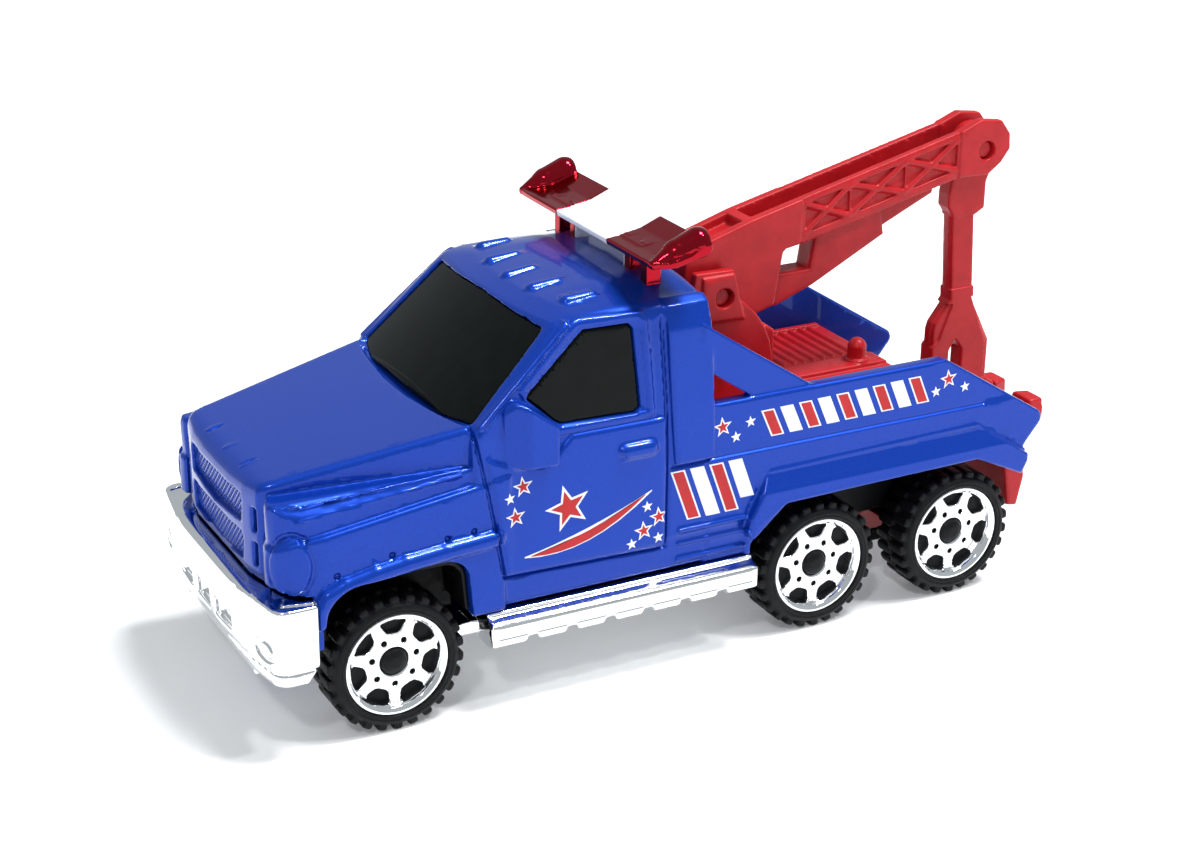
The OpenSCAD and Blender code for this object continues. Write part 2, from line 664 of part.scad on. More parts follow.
module rim(x, side) color(chrome) at_wheel(x, side) {
    back_y = rim_face_y - 0.9;
    difference() {
        turned([
            [1.15, back_y], [rim_r, back_y], [rim_r, rim_face_y], [rim_r - 0.5, rim_face_y],
            [rim_r - 0.75, rim_face_y - 0.45], [2.5, rim_face_y - 0.25], [1.6, rim_face_y - 0.2],
            [1.15, rim_face_y - 0.3]
        ]);
        for (i = [0:rim_windows - 1]) rotate([0, i * 360 / rim_windows, 0]) {
            side_prism([[-0.55, 2.55], [-0.95, 3.3], [-0.7, 3.65], [0.7, 3.65], [0.95, 3.3], [0.55, 2.55]],
                       0, 20);
            rotate([0, 180 / rim_windows, 0]) translate([0, 0, 1.95]) rotate([-90, 0, 0])
                cylinder(r = 0.24, h = 20, $fn = 20);
        }
    }
}

body_casting();
baseplate();
window_insert();
light_bar();
deck_insert();
boom();
hook_arm();
axle(front_axle_x);  // front_axle
axle(middle_axle_x);  // middle_axle
axle(rear_axle_x);  // rear_axle
wheel(front_axle_x, 1);  // front_left_wheel
wheel(front_axle_x, -1);  // front_right_wheel
wheel(middle_axle_x, 1);  // middle_left_wheel
wheel(middle_axle_x, -1);  // middle_right_wheel
wheel(rear_axle_x, 1);  // rear_left_wheel
wheel(rear_axle_x, -1);  // rear_right_wheel
rim(front_axle_x, 1);  // front_left_rim
rim(front_axle_x, -1);  // front_right_rim
rim(middle_axle_x, 1);  // middle_left_rim
rim(middle_axle_x, -1);  // middle_right_rim
rim(rear_axle_x, 1);  // rear_left_rim
rim(rear_axle_x, -1);  // rear_right_rim
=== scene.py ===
"""Looks for the toy tow truck: a blue die-cast body on a plated base, red plastic deck, boom and hook arm.

Every visible piece is shaped as a field of distances on an even grid of points and then meshed, because the
real parts are castings and mouldings with soft edges and shallow relief. Shapes are in millimetres, measured
from a datum a little ahead of the middle of the truck; X runs forward, Y to the driver's left, Z up.
"""
import json
import math
from collections import namedtuple

import bpy
import numpy as np
import openvdb
from mathutils import Matrix, Vector


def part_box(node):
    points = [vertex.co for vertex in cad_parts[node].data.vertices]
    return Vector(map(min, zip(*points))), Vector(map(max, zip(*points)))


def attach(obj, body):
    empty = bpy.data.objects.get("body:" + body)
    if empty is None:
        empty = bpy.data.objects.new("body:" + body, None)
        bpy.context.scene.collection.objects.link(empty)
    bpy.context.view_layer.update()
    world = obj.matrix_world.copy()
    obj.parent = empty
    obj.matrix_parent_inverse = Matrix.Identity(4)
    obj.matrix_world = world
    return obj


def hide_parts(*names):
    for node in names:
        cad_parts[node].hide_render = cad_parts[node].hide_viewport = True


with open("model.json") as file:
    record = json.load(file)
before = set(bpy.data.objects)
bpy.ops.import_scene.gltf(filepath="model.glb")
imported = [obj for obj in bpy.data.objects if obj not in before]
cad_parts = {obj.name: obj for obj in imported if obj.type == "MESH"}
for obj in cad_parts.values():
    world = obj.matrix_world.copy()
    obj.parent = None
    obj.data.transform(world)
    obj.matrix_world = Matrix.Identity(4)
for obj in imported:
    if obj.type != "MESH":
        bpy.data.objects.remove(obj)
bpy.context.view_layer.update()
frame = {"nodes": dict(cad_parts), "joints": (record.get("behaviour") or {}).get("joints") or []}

MM = 0.001
JOINTS = {joint["name"]: joint for joint in frame["joints"]}

# ------------------------------------------------------------------ driving sizes, from the frame

BUMPER_X = 39.0
DATUM_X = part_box("baseplate")[1].x / MM - BUMPER_X


def joint_place(name):
    """A joint's place in the side view, from the datum, in millimetres."""
    x, _, z = JOINTS[name]["pos_m"]
    return x / MM - DATUM_X, z / MM


AXLES = {name: joint_place(name + "_axle_spin") for name in ("front", "middle", "rear")}
AXLE_Z = AXLES["front"][1]
WHEEL_R = AXLE_Z
BOOM_PIVOT = joint_place("boom_lift")
HOOK_PIVOT = joint_place("hook_swing")
RIM_FACE_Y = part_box("front_left_rim")[1].y / MM
TYRE_IN_Y, TYRE_OUT_Y = (corner.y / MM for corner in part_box("front_left_wheel"))
BODY_HALF_W = 12.5
LIP_HALF_W = 13.4
RAIL_TOP_Z = 22.9
RAIL_IN_Y = 10.9
ROOF_Z = 33.4
BODY_LOW_Z = 8.5
CAB_REAR_X = -1.4
FLOOR_Z = 18.5
DECK_REAR_X = -26.8
TONGUE_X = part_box("deck_insert")[0].x / MM - DATUM_X
PAN_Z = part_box("baseplate")[0].z / MM
PIN_R, PIN_HOLE_R = 0.8, 0.86

# ------------------------------------------------------------------ distance fields

FAR = 9.0
Shape = namedtuple("Shape", "distance low high")


def soft_max(a, b, soft):
    """The larger of two distances, rounded where they are within soft of each other."""
    top = np.maximum(a, b)
    if soft <= 0:
        return top
    blend = np.maximum(soft - np.abs(a - b), 0) / soft
    return top + blend * blend * (soft / 4)


def soft_min(a, b, soft):
    return -soft_max(-a, -b, soft)


def arc(cx, cz, r, start, end, count=8):
    """Points on an arc, from angle start to end in degrees."""
    angles = np.radians(np.linspace(start, end, count + 1))
    return [(cx + r * math.cos(a), cz + r * math.sin(a)) for a in angles]


def line_distance(u, v, points):
    """Distance from each point to an open line through points."""
    best = None
    for (au, av), (bu, bv) in zip(points, points[1:]):
        eu, ev = bu - au, bv - av
        share = np.clip(((u - au) * eu + (v - av) * ev) / (eu * eu + ev * ev), 0, 1)
        squared = (u - au - eu * share) ** 2 + (v - av - ev * share) ** 2
        best = squared if best is None else np.minimum(best, squared)
    return np.sqrt(best)


def outline_distance(u, v, points):
    """Distance from each point to a closed outline, negative inside it."""
    closed = list(points) + [points[0]]
    inside = np.zeros(np.broadcast(u, v).shape, bool)
    for (au, av), (bu, bv) in zip(closed, closed[1:]):
        if av != bv:
            spans = (av > v) != (bv > v)
            inside ^= spans & (u < au + (v - av) * (bu - au) / (bv - av))
    return np.where(inside, -1, 1) * line_distance(u, v, closed)


def prism(points, axis, start, end, soft=0.0):
    """An outline in the two other axes, in their X, Y, Z order, extruded along axis."""
    across = [i for i in range(3) if i != axis]
    flat = np.array(points, float)

    def distance(*xyz):
        cap = np.maximum(start - xyz[axis], xyz[axis] - end)
        return soft_max(outline_distance(xyz[across[0]], xyz[across[1]], points), cap, soft)

    low, high = np.zeros(3), np.zeros(3)
    low[across], high[across] = flat.min(0), flat.max(0)
    low[axis], high[axis] = start, end
    return Shape(distance, low, high)


def side(points, y0, y1, soft=0.0):
    """An outline in X and Z, from y0 to y1."""
    return prism(points, 1, y0, y1, soft)


def cross(points, x0, x1, soft=0.0):
    """An outline in Y and Z, from x0 to x1."""
    return prism(points, 0, x0, x1, soft)


def plan(points, z0, z1, soft=0.0):
    """An outline in X and Y, from z0 to z1."""
    return prism(points, 2, z0, z1, soft)


def block(low, high, soft=0.0):
    (x0, y0, z0), (x1, y1, z1) = low, high

    def distance(x, y, z):
        flat = soft_max(np.maximum(x0 - x, x - x1), np.maximum(y0 - y, y - y1), soft)
        return soft_max(flat, np.maximum(z0 - z, z - z1), soft)

    return Shape(distance, np.array(low, float), np.array(high, float))


def seam(points, width, y0=9.0, y1=15.0):
    """A line in the side view, as wide as width, from y0 to y1."""
    flat = np.array(points, float)

    def distance(x, y, z):
        return np.maximum(line_distance(x, z, points) - width / 2, np.maximum(y0 - y, y - y1))

    low = np.array([flat[:, 0].min() - width, y0, flat[:, 1].min() - width])
    high = np.array([flat[:, 0].max() + width, y1, flat[:, 1].max() + width])
    return Shape(distance, low, high)


def egg(centre, radii):
    """An ellipsoid."""
    centre = np.array(centre, float)
    reach = max(radii)

    def distance(*xyz):
        near = np.sqrt(sum(((u - c) / r) ** 2 for u, c, r in zip(xyz, centre, radii)))
        return (near - 1) * min(radii) * np.minimum(near, 1.5) ** 0.5

    return Shape(distance, centre - reach, centre + reach)


def drop(start, end, r0, r1):
    """A round bar with ball ends, r0 at the start and r1 at the end."""
    a, b = np.array(start, float), np.array(end, float)
    e = b - a

    def distance(x, y, z):
        share = np.clip(((x - a[0]) * e[0] + (y - a[1]) * e[1] + (z - a[2]) * e[2]) / (e @ e), 0, 1)
        away = (x - a[0] - e[0] * share) ** 2 + (y - a[1] - e[1] * share) ** 2
        return np.sqrt(away + (z - a[2] - e[2] * share) ** 2) - r0 - (r1 - r0) * share

    return Shape(distance, np.minimum(a, b) - r0, np.maximum(a, b) + r0)


def bar(start, end, r):
    """A round bar with ball ends."""
    return drop(start, end, r, r)


def disc(centre, axis, r, start, end, soft=0.0):
    """A cylinder along axis, from start to end, through centre, which is given in the two other axes."""
    across = [i for i in range(3) if i != axis]

    def distance(*xyz):
        round_part = np.hypot(xyz[across[0]] - centre[0], xyz[across[1]] - centre[1]) - r
        return soft_max(round_part, np.maximum(start - xyz[axis], xyz[axis] - end), soft)

    low, high = np.zeros(3), np.zeros(3)
    low[across], high[across] = np.array(centre) - r, np.array(centre) + r
    low[axis], high[axis] = start, end
    return Shape(distance, low, high)


def common(*shapes, soft=0.0):
    """What the shapes share, with rounded edges."""

    def distance(x, y, z):
        total = shapes[0].distance(x, y, z)
        for shape in shapes[1:]:
            total = soft_max(total, shape.distance(x, y, z), soft)
        return total

    return Shape(distance, np.max([s.low for s in shapes], 0), np.min([s.high for s in shapes], 0))


class Form:
    """A solid held as distances on an even grid, negative inside. A mirrored form holds only Y >= 0."""

    def __init__(self, low, high, step, mirrored=True):
        self.step, self.mirrored = step, mirrored
        self.low = np.array(low, float)
        if mirrored:
            self.low[1] = 0.0
        counts = np.ceil((np.array(high, float) - self.low) / step).astype(int) + 1
        self.d = np.full(counts, FAR, np.float32)

    def near(self, shape, reach):
        """The part of the grid within reach of a shape, and the shape's distances there."""
        first = np.floor((shape.low - reach - self.low) / self.step).astype(int)
        last = np.ceil((shape.high + reach - self.low) / self.step).astype(int) + 1
        first, last = np.maximum(first, 0), np.minimum(last, self.d.shape)
        if (last <= first).any():
            raise ValueError("a shape lies outside its form's grid")
        spans = [self.low[i] + self.step * np.arange(first[i], last[i]) for i in range(3)]
        x, y, z = (np.float32(span) for span in np.ix_(*spans))
        return tuple(slice(a, b) for a, b in zip(first, last)), shape.distance(x, y, z)

    def reach(self, soft):
        return soft + 4 * self.step

    def add(self, shape, soft=0.0):
        part, new = self.near(shape, self.reach(soft))
        self.d[part] = soft_min(self.d[part], new, soft)

    def cut(self, shape, soft=0.0):
        part, new = self.near(shape, self.reach(soft))
        self.d[part] = soft_max(self.d[part], -new, soft)

    def engrave(self, shape, depth, soft=0.1):
        """Sinks the surface by depth inside a shape."""
        part, new = self.near(shape, self.reach(soft + depth))
        old = self.d[part]
        self.d[part] = np.maximum(old, soft_min(-new, old + depth, soft))

    def emboss(self, shape, height, soft=0.2):
        """Raises the surface by height inside a shape."""
        part, new = self.near(shape, self.reach(soft + height))
        old = self.d[part]
        self.d[part] = np.minimum(old, soft_max(new, old - height, soft))

    def whole(self):
        if self.mirrored:
            return np.concatenate([self.d[:, :0:-1, :], self.d], axis=1)
        return self.d

    def sample(self, points):
        """Distances at any points, interpolated."""
        at = (points - self.low) / self.step
        if self.mirrored:
            at[:, 1] = np.abs(points[:, 1]) / self.step
        at = np.clip(at, 0, np.array(self.d.shape) - 1.001)
        base = at.astype(int)
        f = at - base
        total = np.zeros(len(points))
        for corner in np.ndindex(2, 2, 2):
            weight = np.prod(np.where(corner, f, 1 - f), axis=1)
            i, j, k = (base + corner).T
            total += weight * self.d[i, j, k]
        return total

    def slope(self, points):
        """The unit direction in which the distance grows."""
        reach = 0.6 * self.step
        parts = []
        for axis in range(3):
            shift = np.zeros(3)
            shift[axis] = reach
            parts.append(self.sample(points + shift) - self.sample(points - shift))
        out = np.stack(parts, 1)
        return out / np.maximum(np.linalg.norm(out, axis=1, keepdims=True), 1e-9)

    def mesh(self, name, adapt=0.0, at_datum=True):
        """The surface where the distance is zero, with normals from the field."""
        band = 3 * self.step
        grid = openvdb.FloatGrid(band)
        grid.copyFromArray(np.ascontiguousarray(np.clip(self.whole(), -band, band), np.float32))
        points, triangles, quads = grid.convertToPolygons(isovalue=0.0, adaptivity=adapt)
        origin = self.low.copy()
        if self.mirrored:
            origin[1] = -self.step * (self.d.shape[1] - 1)
        points = origin + self.step * points.astype(float)
        for _ in range(2):
            points -= np.clip(self.sample(points), -self.step, self.step)[:, None] * self.slope(points)
        data = bpy.data.meshes.new(name)
        faces = np.concatenate([triangles.ravel(), quads.ravel()]).astype(np.int32)
        starts = np.concatenate([
            3 * np.arange(len(triangles)), 3 * len(triangles) + 4 * np.arange(len(quads))
        ]).astype(np.int32)
        data.vertices.add(len(points))
        places = (points + [DATUM_X * at_datum, 0, 0]) * MM
        data.vertices.foreach_set("co", places.astype(np.float32).ravel())
        data.loops.add(len(faces))
        data.loops.foreach_set("vertex_index", faces)
        data.polygons.add(len(starts))
        data.polygons.foreach_set("loop_start", starts)
        data.update(calc_edges=True)
        data.validate()
        data.polygons.foreach_set("use_smooth", np.ones(len(data.polygons), bool))
        data.normals_split_custom_set_from_vertices(self.slope(points).astype(np.float32))
        return data


def place_object(name, data):
    thing = bpy.data.objects.new(name, data)
    bpy.context.scene.collection.objects.link(thing)
    return thing


def piece(name, data, body, slot, material, *nodes):
    """Puts a mesh in the scene as a piece that rides on body and stands for CAD nodes."""
    thing = place_object(name, data)
    data.materials.append(material)
    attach(thing, body)
    if nodes:
        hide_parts(*nodes)
    return thing


# ------------------------------------------------------------------ materials


def new_material(name):
    """A material and its shader, node maker and linker."""
    material = bpy.data.materials.new(name)
    material.use_nodes = True
    tree = material.node_tree
    shader = tree.nodes["Principled BSDF"]

    def make(kind, **values):
        node = tree.nodes.new(kind)
        for key, value in values.items():
            if key in node.inputs:
                node.inputs[key].default_value = value
            else:
                setattr(node, key, value)
        return node

    return material, shader, make, tree.links.new


def speckle(make, link, scale, low, high, detail=3.0):
    """Noise between two values, in object space, with scale in blobs per metre."""
    where = make("ShaderNodeTexCoord")
    noise = make("ShaderNodeTexNoise", Scale=scale, Detail=detail)
    link(where.outputs["Object"], noise.inputs["Vector"])
    spread = make("ShaderNodeMapRange", **{"From Min": 0.3, "From Max": 0.7, "To Min": low, "To Max": high})
    link(noise.outputs["Fac"], spread.inputs["Value"])
    return noise, spread


def bump(make, link, shader, height, strength, distance):
    node = make("ShaderNodeBump", Strength=strength, Distance=distance)
    link(height, node.inputs["Height"])
    link(node.outputs["Normal"], shader.inputs["Normal"])


def settle(shader, values):
    """Sets the shader's own sockets, for what is the same all over."""
    for socket, value in values.items():
        shader.inputs[socket].default_value = value


def mottle(make, link, shader, spread, dark, light):
    """Spreads the base colour between two colours."""
    tint = make("ShaderNodeMix", data_type="RGBA")
    tint.inputs["A"].default_value = (*dark, 1)
    tint.inputs["B"].default_value = (*light, 1)
    link(spread.outputs["Result"], tint.inputs["Factor"])
    link(tint.outputs["Result"], shader.inputs["Base Color"])


def blue_enamel():
    """Metallic blue enamel: flakes under a clear coat, a little uneven, as on any small casting."""
    material, shader, make, link = new_material("blue_enamel")
    _, spread = speckle(make, link, 14000.0, 0.0, 1.0, 1.0)
    mottle(make, link, shader, spread, (0.0022, 0.032, 0.31), (0.0035, 0.048, 0.41))
    settle(shader, {
        "Metallic": 0.4, "Roughness": 0.30, "IOR": 1.2, "Coat Weight": 1.0, "Coat Roughness": 0.03,
        "Coat IOR": 1.26
    })
    waves, _ = speckle(make, link, 900.0, 0.0, 1.0, 2.0)
    bump(make, link, shader, waves.outputs["Fac"], 0.12, 0.00004)
    return material


def plating(name, colour, roughness):
    """Bright vacuum plating with the slight waves of the plastic under it."""
    material, shader, make, link = new_material(name)
    settle(shader, {"Base Color": (*colour, 1), "Metallic": 1.0})
    _, spread = speckle(make, link, 2500.0, roughness * 0.6, roughness * 1.6)
    link(spread.outputs["Result"], shader.inputs["Roughness"])
    waves, _ = speckle(make, link, 1400.0, 0.0, 1.0, 2.0)
    bump(make, link, shader, waves.outputs["Fac"], 0.1, 0.00003)
    return material


def moulded(name, dark, light, roughness, grain=0.00003, ior=1.4):
    """Moulded plastic: faint mottling in the colour and a fine skin."""
    material, shader, make, link = new_material(name)
    _, spread = speckle(make, link, 600.0, 0.0, 1.0)
    mottle(make, link, shader, spread, dark, light)
    settle(shader, {"IOR": ior})
    _, polish = speckle(make, link, 1800.0, roughness * 0.85, roughness * 1.2)
    link(polish.outputs["Result"], shader.inputs["Roughness"])
    skin, _ = speckle(make, link, 5000.0, 0.0, 1.0, 4.0)
    bump(make, link, shader, skin.outputs["Fac"], 0.35, grain)
    return material


BLUE = blue_enamel()
CHROME = plating("bright_plating", (0.93, 0.94, 0.95), 0.05)
CANDY_RED = plating("candy_red_plating", (0.36, 0.010, 0.020), 0.09)
RED = moulded("red_plastic", (0.38, 0.008, 0.012), (0.47, 0.012, 0.017), 0.38, 0.00003, 1.33)
# Black plastic of the tyres, also used as painted shade on the sheets in the wheel wells
BLACK_PLASTIC_AND_SHADE = moulded("black_plastic", (0.003, 0.003, 0.0035), (0.006, 0.006, 0.007), 0.45, 0.00003, 1.25)
SMOKE = moulded("smoked_window", (0.0008, 0.0016, 0.0015), (0.0018, 0.0034, 0.0030), 0.10, 0.000008, 1.22)
WHITE_INK = moulded("white_ink", (0.74, 0.76, 0.80), (0.84, 0.86, 0.90), 0.35)
RED_INK = moulded("red_ink", (0.42, 0.008, 0.010), (0.52, 0.012, 0.014), 0.35)
# The plated middle of the light bar, drawn as flat near-white colour: a painted reflection of the bright
# room, not plating
PAINTED_REFLECTION_WHITE = moulded("painted_reflection_white", (0.82, 0.83, 0.84), (0.92, 0.93, 0.94), 0.22, 0.00001, 1.5)
STEEL = plating("axle_steel", (0.52, 0.53, 0.55), 0.22)

# ------------------------------------------------------------------ cast body

BODY_STEP = 0.17
# Where the two posts of the casting stand on the base
RIVETS_X = (32.6, -19.7)
SCREEN_BOW = 1.45


def bowed(shape):
    """A shape whose front is bowed forwards in plan, as the windscreen is."""

    def distance(x, y, z):
        bow = SCREEN_BOW * np.maximum(1 - (y / 11.3) ** 2, 0) * np.clip((x - 4.0) / 7.0, 0, 1)
        return shape.distance(x - bow, y, z)

    return Shape(distance, shape.low, shape.high + [SCREEN_BOW, 0, 0])


def below(first, second, third):
    """The half space under the plane through three places."""
    a, b, c = (np.array(p, float) for p in (first, second, third))
    n = np.cross(b - a, c - a)
    n *= np.sign(n[2]) / np.linalg.norm(n)
    return Shape(
        lambda x, y, z: (x - a[0]) * n[0] + (y - a[1]) * n[1] + (z - a[2]) * n[2],
        np.full(3, -99.0), np.full(3, 99.0)
    )


HOOD_SIDE = (
    [(16, BODY_LOW_Z), (35, BODY_LOW_Z), (37.5, 13.6)] + arc(35.4, 19.6, 2.2, 0, 80)
    + [(20.2, 24.5), (18.6, 24.7), (16, 24.7)]
)
HOOD_PLAN = [
    (16, -1), (16, 11.7), (20.2, 11.45), (35.4, 8.9), (36.3, 8.6), (36.8, 8.1), (37.3, 6.0), (37.6, 3.0),
    (37.7, -1)
]
FENDER_SIDE = [
    (17.5, BODY_LOW_Z), (35, BODY_LOW_Z), (37.4, 13.6), (37.2, 17.2), (34.8, 18.0), (20.9, 19.8), (17.5, 20.2)
]
FENDER_PLAN = [
    (16, -1), (16, 12.6), (33.0, 12.6), (34.6, 12.35), (35.7, 11.9), (36.5, 11.3), (36.95, 10.6),
    (37.05, 10.0),
    (36.9, 9.35), (36.4, 8.9), (36.4, -1)
]
SHELF_SIDE = [(17.5, 17), (36.7, 17), (37.1, 20.2), (36.5, 20.7), (21.2, 21.3), (17.5, 21.3)]
SHELF_PLAN = [
    (16, -1), (16, 11.95), (33.0, 11.95), (34.6, 11.8), (35.7, 11.4), (36.4, 10.8), (36.8, 10.1), (36.7, 9.4),
    (36.2, 8.9), (36.2, -1)
]
# The shelf's outer edge is bevelled through these three places, widest at the front
SHELF_BEVEL = ((36.0, 10.8, 20.5), (35.3, 12.0, 19.5), (21.3, 12.0, 21.05))
CAB_SIDE = (
    [(CAB_REAR_X, BODY_LOW_Z), (20.4, BODY_LOW_Z), (20.4, 24.0), (12.2, 31.5), (10.4, 32.2), (8, 32.6)]
    + [(5.4, 33.0), (4.8, ROOF_Z)] + arc(0.6, ROOF_Z - 2, 2, 90, 180)
)
CAB_CROSS = (
    [(-1, BODY_LOW_Z), (BODY_HALF_W, BODY_LOW_Z), (BODY_HALF_W, 18.0), (12.2, 23.4), (11.1, 30.6)]
    + arc(9.6, 30.6, 1.5, 12, 78) + [(6, ROOF_Z - 0.25), (0, ROOF_Z), (-1, ROOF_Z)]
)
PILLAR_CROSS = [(10, 18.3), (12.9, 18.3), (12.6, 23.4), (11.75, 29.8), (11.0, 31.6), (10, 32.2)]
PILLAR_SIDE = [(CAB_REAR_X, 18.3), (2.4, 18.3), (2.8, 24), (2.8, 33), (CAB_REAR_X, 33)]
RAIL_SIDE = (
    [(-0.8, BODY_LOW_Z), (-0.8, RAIL_TOP_Z), (-24.1, RAIL_TOP_Z)]
    + arc(-24.5, RAIL_TOP_Z - 1.2, 1.2, 80, 125, 4) + arc(-34.9, 15.6, 0.9, 125, 210, 6)
    + [(-34.4, 13.6), (-33.9, 12.9), (-28.5, 13.2), (-8.4, 13.2), (-5.4, 9.4), (-5.4, BODY_LOW_Z)]
)
RAIL_CROSS = [
    (RAIL_IN_Y, 6), (12.55, 6), (12.55, 18.0), (12.35, 18.4), (12.2, RAIL_TOP_Z), (RAIL_IN_Y, RAIL_TOP_Z)
]
BAND_SIDE = [
    (-4.0, 10.6), (-6.6, 15.6), (-7.2, 16.0), (-28.4, 16.3), (-34.0, 12.7), (-34.0, 12.0), (-33.4, 10.8),
    (-28.5, 13.2), (-8.4, 13.0), (-5.2, 10.2)
]
BAND_CROSS = [
    (RAIL_IN_Y, 9), (LIP_HALF_W, 9), (LIP_HALF_W, 14.2), (13.15, 14.7), (12.45, 16.1), (RAIL_IN_Y, 16.1)
]
GUSSET = [(-0.4, 29.9), (-0.9, 29.6), (-11.4, 22.7), (-6.4, 22.0), (-1.4, 25.4), (-0.4, 25.4)]
SCREEN_CROSS = [
    (-1, 23.75), (0, 23.75), (6, 23.9), (10.65, 24.3), (10.85, 24.6), (9.75, 30.6), (9.5, 30.95), (0, 31.35),
    (-1, 31.35)
]
SIDE_WINDOW = [
    (15.6, 26.2), (13.1, 23.9), (12.6, 23.6), (5.9, 23.4), (5.4, 23.8), (5.7, 30.3), (6.1, 30.7), (10.2, 30.8)
]
GRILLE_X = 36.75
REAR_WINDOW = [(-1, 25.6), (6.2, 25.6), (6.4, 26.0), (6.2, 30.0), (5.8, 30.4), (-1, 30.5)]
HOLLOW_SIDE = [
    (CAB_REAR_X + 1.2, 7), (19.2, 7), (19.0, 23.4), (11.3, 30.3), (5, 31.7), (0.6, 31.9),
    (CAB_REAR_X + 1.2, 31.2)
]
HOLLOW_CROSS = [(-1, 7), (11.3, 7), (11.3, 18), (11.0, 23.4), (9.95, 30.2), (8.6, 31.5), (-1, 32.1)]
HOLLOW = common(side(HOLLOW_SIDE, -1, 14), cross(HOLLOW_CROSS, -2, 21))
SCREEN_OPENING = common(
    cross(SCREEN_CROSS, 9.0, 23.5),
    bowed(side([(20.1, 23.75), (19.0, 21.7), (9.4, 30.4), (11.5, 33.5), (20.4, 25.8)], -1, 14)),
)
CAB_OUTSIDE = common(bowed(side(CAB_SIDE, -1, 14)), cross(CAB_CROSS, -3, 22), soft=0.8)
# Black sheets in the wheel wells, clear of the base below: painted shade, where the blue casting is only dark
# from shadow
WELL_Y, WELL_Z = 7.0, 7.6
SHADE_SHEET_THICKNESS = 0.4
WELL_SHADE_WALLS = (
    [(20.4, WELL_Z), (33.0, WELL_Z), (33.0, 21.2), (20.4, 23.0)],
    [(-25.2, WELL_Z), (-5.4, WELL_Z), (-5.4, 16.2), (-25.2, 16.2)],
)


def front_arch(grow):
    """The front wheel opening, grown outwards by grow."""
    return (
        [(33.3 + grow, 4)] + arc(30.4, 11.0 + 0.4 * grow, 2.9 + grow, 0, 90)
        + arc(22.9, 11.9 + 0.4 * grow, 2.0 + grow, 90, 165) + [(20.2 - grow, 4)]
    )


def corner_oval(centre, z, half_w, half_h, facing=46):
    """An oval seen square on from the front corner, through the surface there."""
    c, s = math.cos(math.radians(facing)), math.sin(math.radians(facing))

    def distance(x, y, z_at):
        along = (y - centre[1]) * c - (x - centre[0]) * s
        depth = np.abs((x - centre[0]) * c + (y - centre[1]) * s) - 1.2
        oval = (np.sqrt((along / half_w) ** 2 + ((z_at - z) / half_h) ** 2) - 1) * half_w
        return np.maximum(oval, depth)

    reach = np.array([half_w + 1, half_w + 1, half_h])
    middle = np.array([centre[0], centre[1], z])
    return Shape(distance, middle - reach, middle + reach)


def ring_of(shape, half_width):
    """A narrow band along the edge of a shape."""
    return Shape(lambda *xyz: np.abs(shape.distance(*xyz)) - half_width, shape.low, shape.high)


def body_outside():
    """The casting as a filled solid, with its raised details."""
    form = Form((-36.6, 0, 3), (38.6, 14.6, 34.6), BODY_STEP)
    form.add(common(side(HOOD_SIDE, -1, 14), plan(HOOD_PLAN, 0, 26), soft=0.65))
    shelf = common(side(SHELF_SIDE, -1, 14), plan(SHELF_PLAN, 0, 26), soft=0.35)
    form.add(common(shelf, below(*SHELF_BEVEL), soft=0.2), 0.1)
    form.add(common(side(FENDER_SIDE, -1, 14), plan(FENDER_PLAN, 0, 26), soft=0.5), 0.25)
    form.add(CAB_OUTSIDE, 0.1)
    form.add(common(cross(PILLAR_CROSS, CAB_REAR_X, 2.8), side(PILLAR_SIDE, 10, 14), soft=0.3), 0.15)
    form.add(common(side(RAIL_SIDE, RAIL_IN_Y, 14), cross(RAIL_CROSS, -40, 3), soft=0.3), 0.1)
    form.add(common(side(BAND_SIDE, RAIL_IN_Y, 14), cross(BAND_CROSS, -36, -3), soft=0.3), 0.1)
    form.add(side(GUSSET, RAIL_IN_Y, 12.0, 0.25), 0.1)
    # Sill tucks in under the doors
    form.cut(cross([(12.1, 7), (14, 7), (14, 12.5), (12.6, 11.4)], -4.6, 17.5), 0.6)
    return form


ARCH_BEAD = [
    (33.75, 11.2), (33.6, 12.3), (32.9, 13.2), (31.5, 13.8), (29.0, 14.3), (26.4, 14.65), (23.0, 14.95),
    (18.9, 15.2)
]
SHELF_BEADS = (
    ((35.9, 10.7, 20.5), (34.2, 11.4, 20.6), (21.3, 11.75, 21.2)),
    ((35.2, 11.85, 19.5), (21.3, 12.05, 20.95)),
)
FENDER_CREASE = [(-6.9, 15.9), (-28.4, 16.2), (-34.0, 12.75)]
FENDER_LIP = [(-5.4, 11.4), (-8.2, 13.25), (-18.9, 13.4), (-28.3, 13.5), (-33.2, 11.3)]
DOOR = [
    (19.4, 22.1), (17.85, 11.5), (3.1, 11.05), (3.1, 22.7), (11.8, 22.75), (13.2, 21.4), (14.6, 20.7),
    (17.4, 21.2)
]
SHUT_LINES = (
    [(20.25, 24.6), (17.9, 11.45), (3.05, 11.0), (3.05, 31.2)],
    [(20.2, 24.5), (12.1, 31.6), (10.6, 32.1)],
)
WINDOW_FRAME = [
    (15.9, 26.9), (10.9, 31.35), (10.4, 31.5), (5.1, 31.3), (4.7, 30.6), (4.5, 23.2), (12.9, 23.1),
    (14.6, 24.6)
]


def bead(form, path, y, r, soft=0.1):
    """A round bead along a line in the side view, at y."""
    for (ax, az), (bx, bz) in zip(path, path[1:]):
        form.add(bar((ax, y, az), (bx, y, bz), r), soft)


def height_at(form, x, y, top):
    """The height of a form's upper surface at a place, searched down from top."""
    z = np.arange(top, top - 8, -form.step / 2)
    inside = form.sample(np.stack([0 * z + x, 0 * z + y, z], 1)) < 0
    return z[np.argmax(inside)]


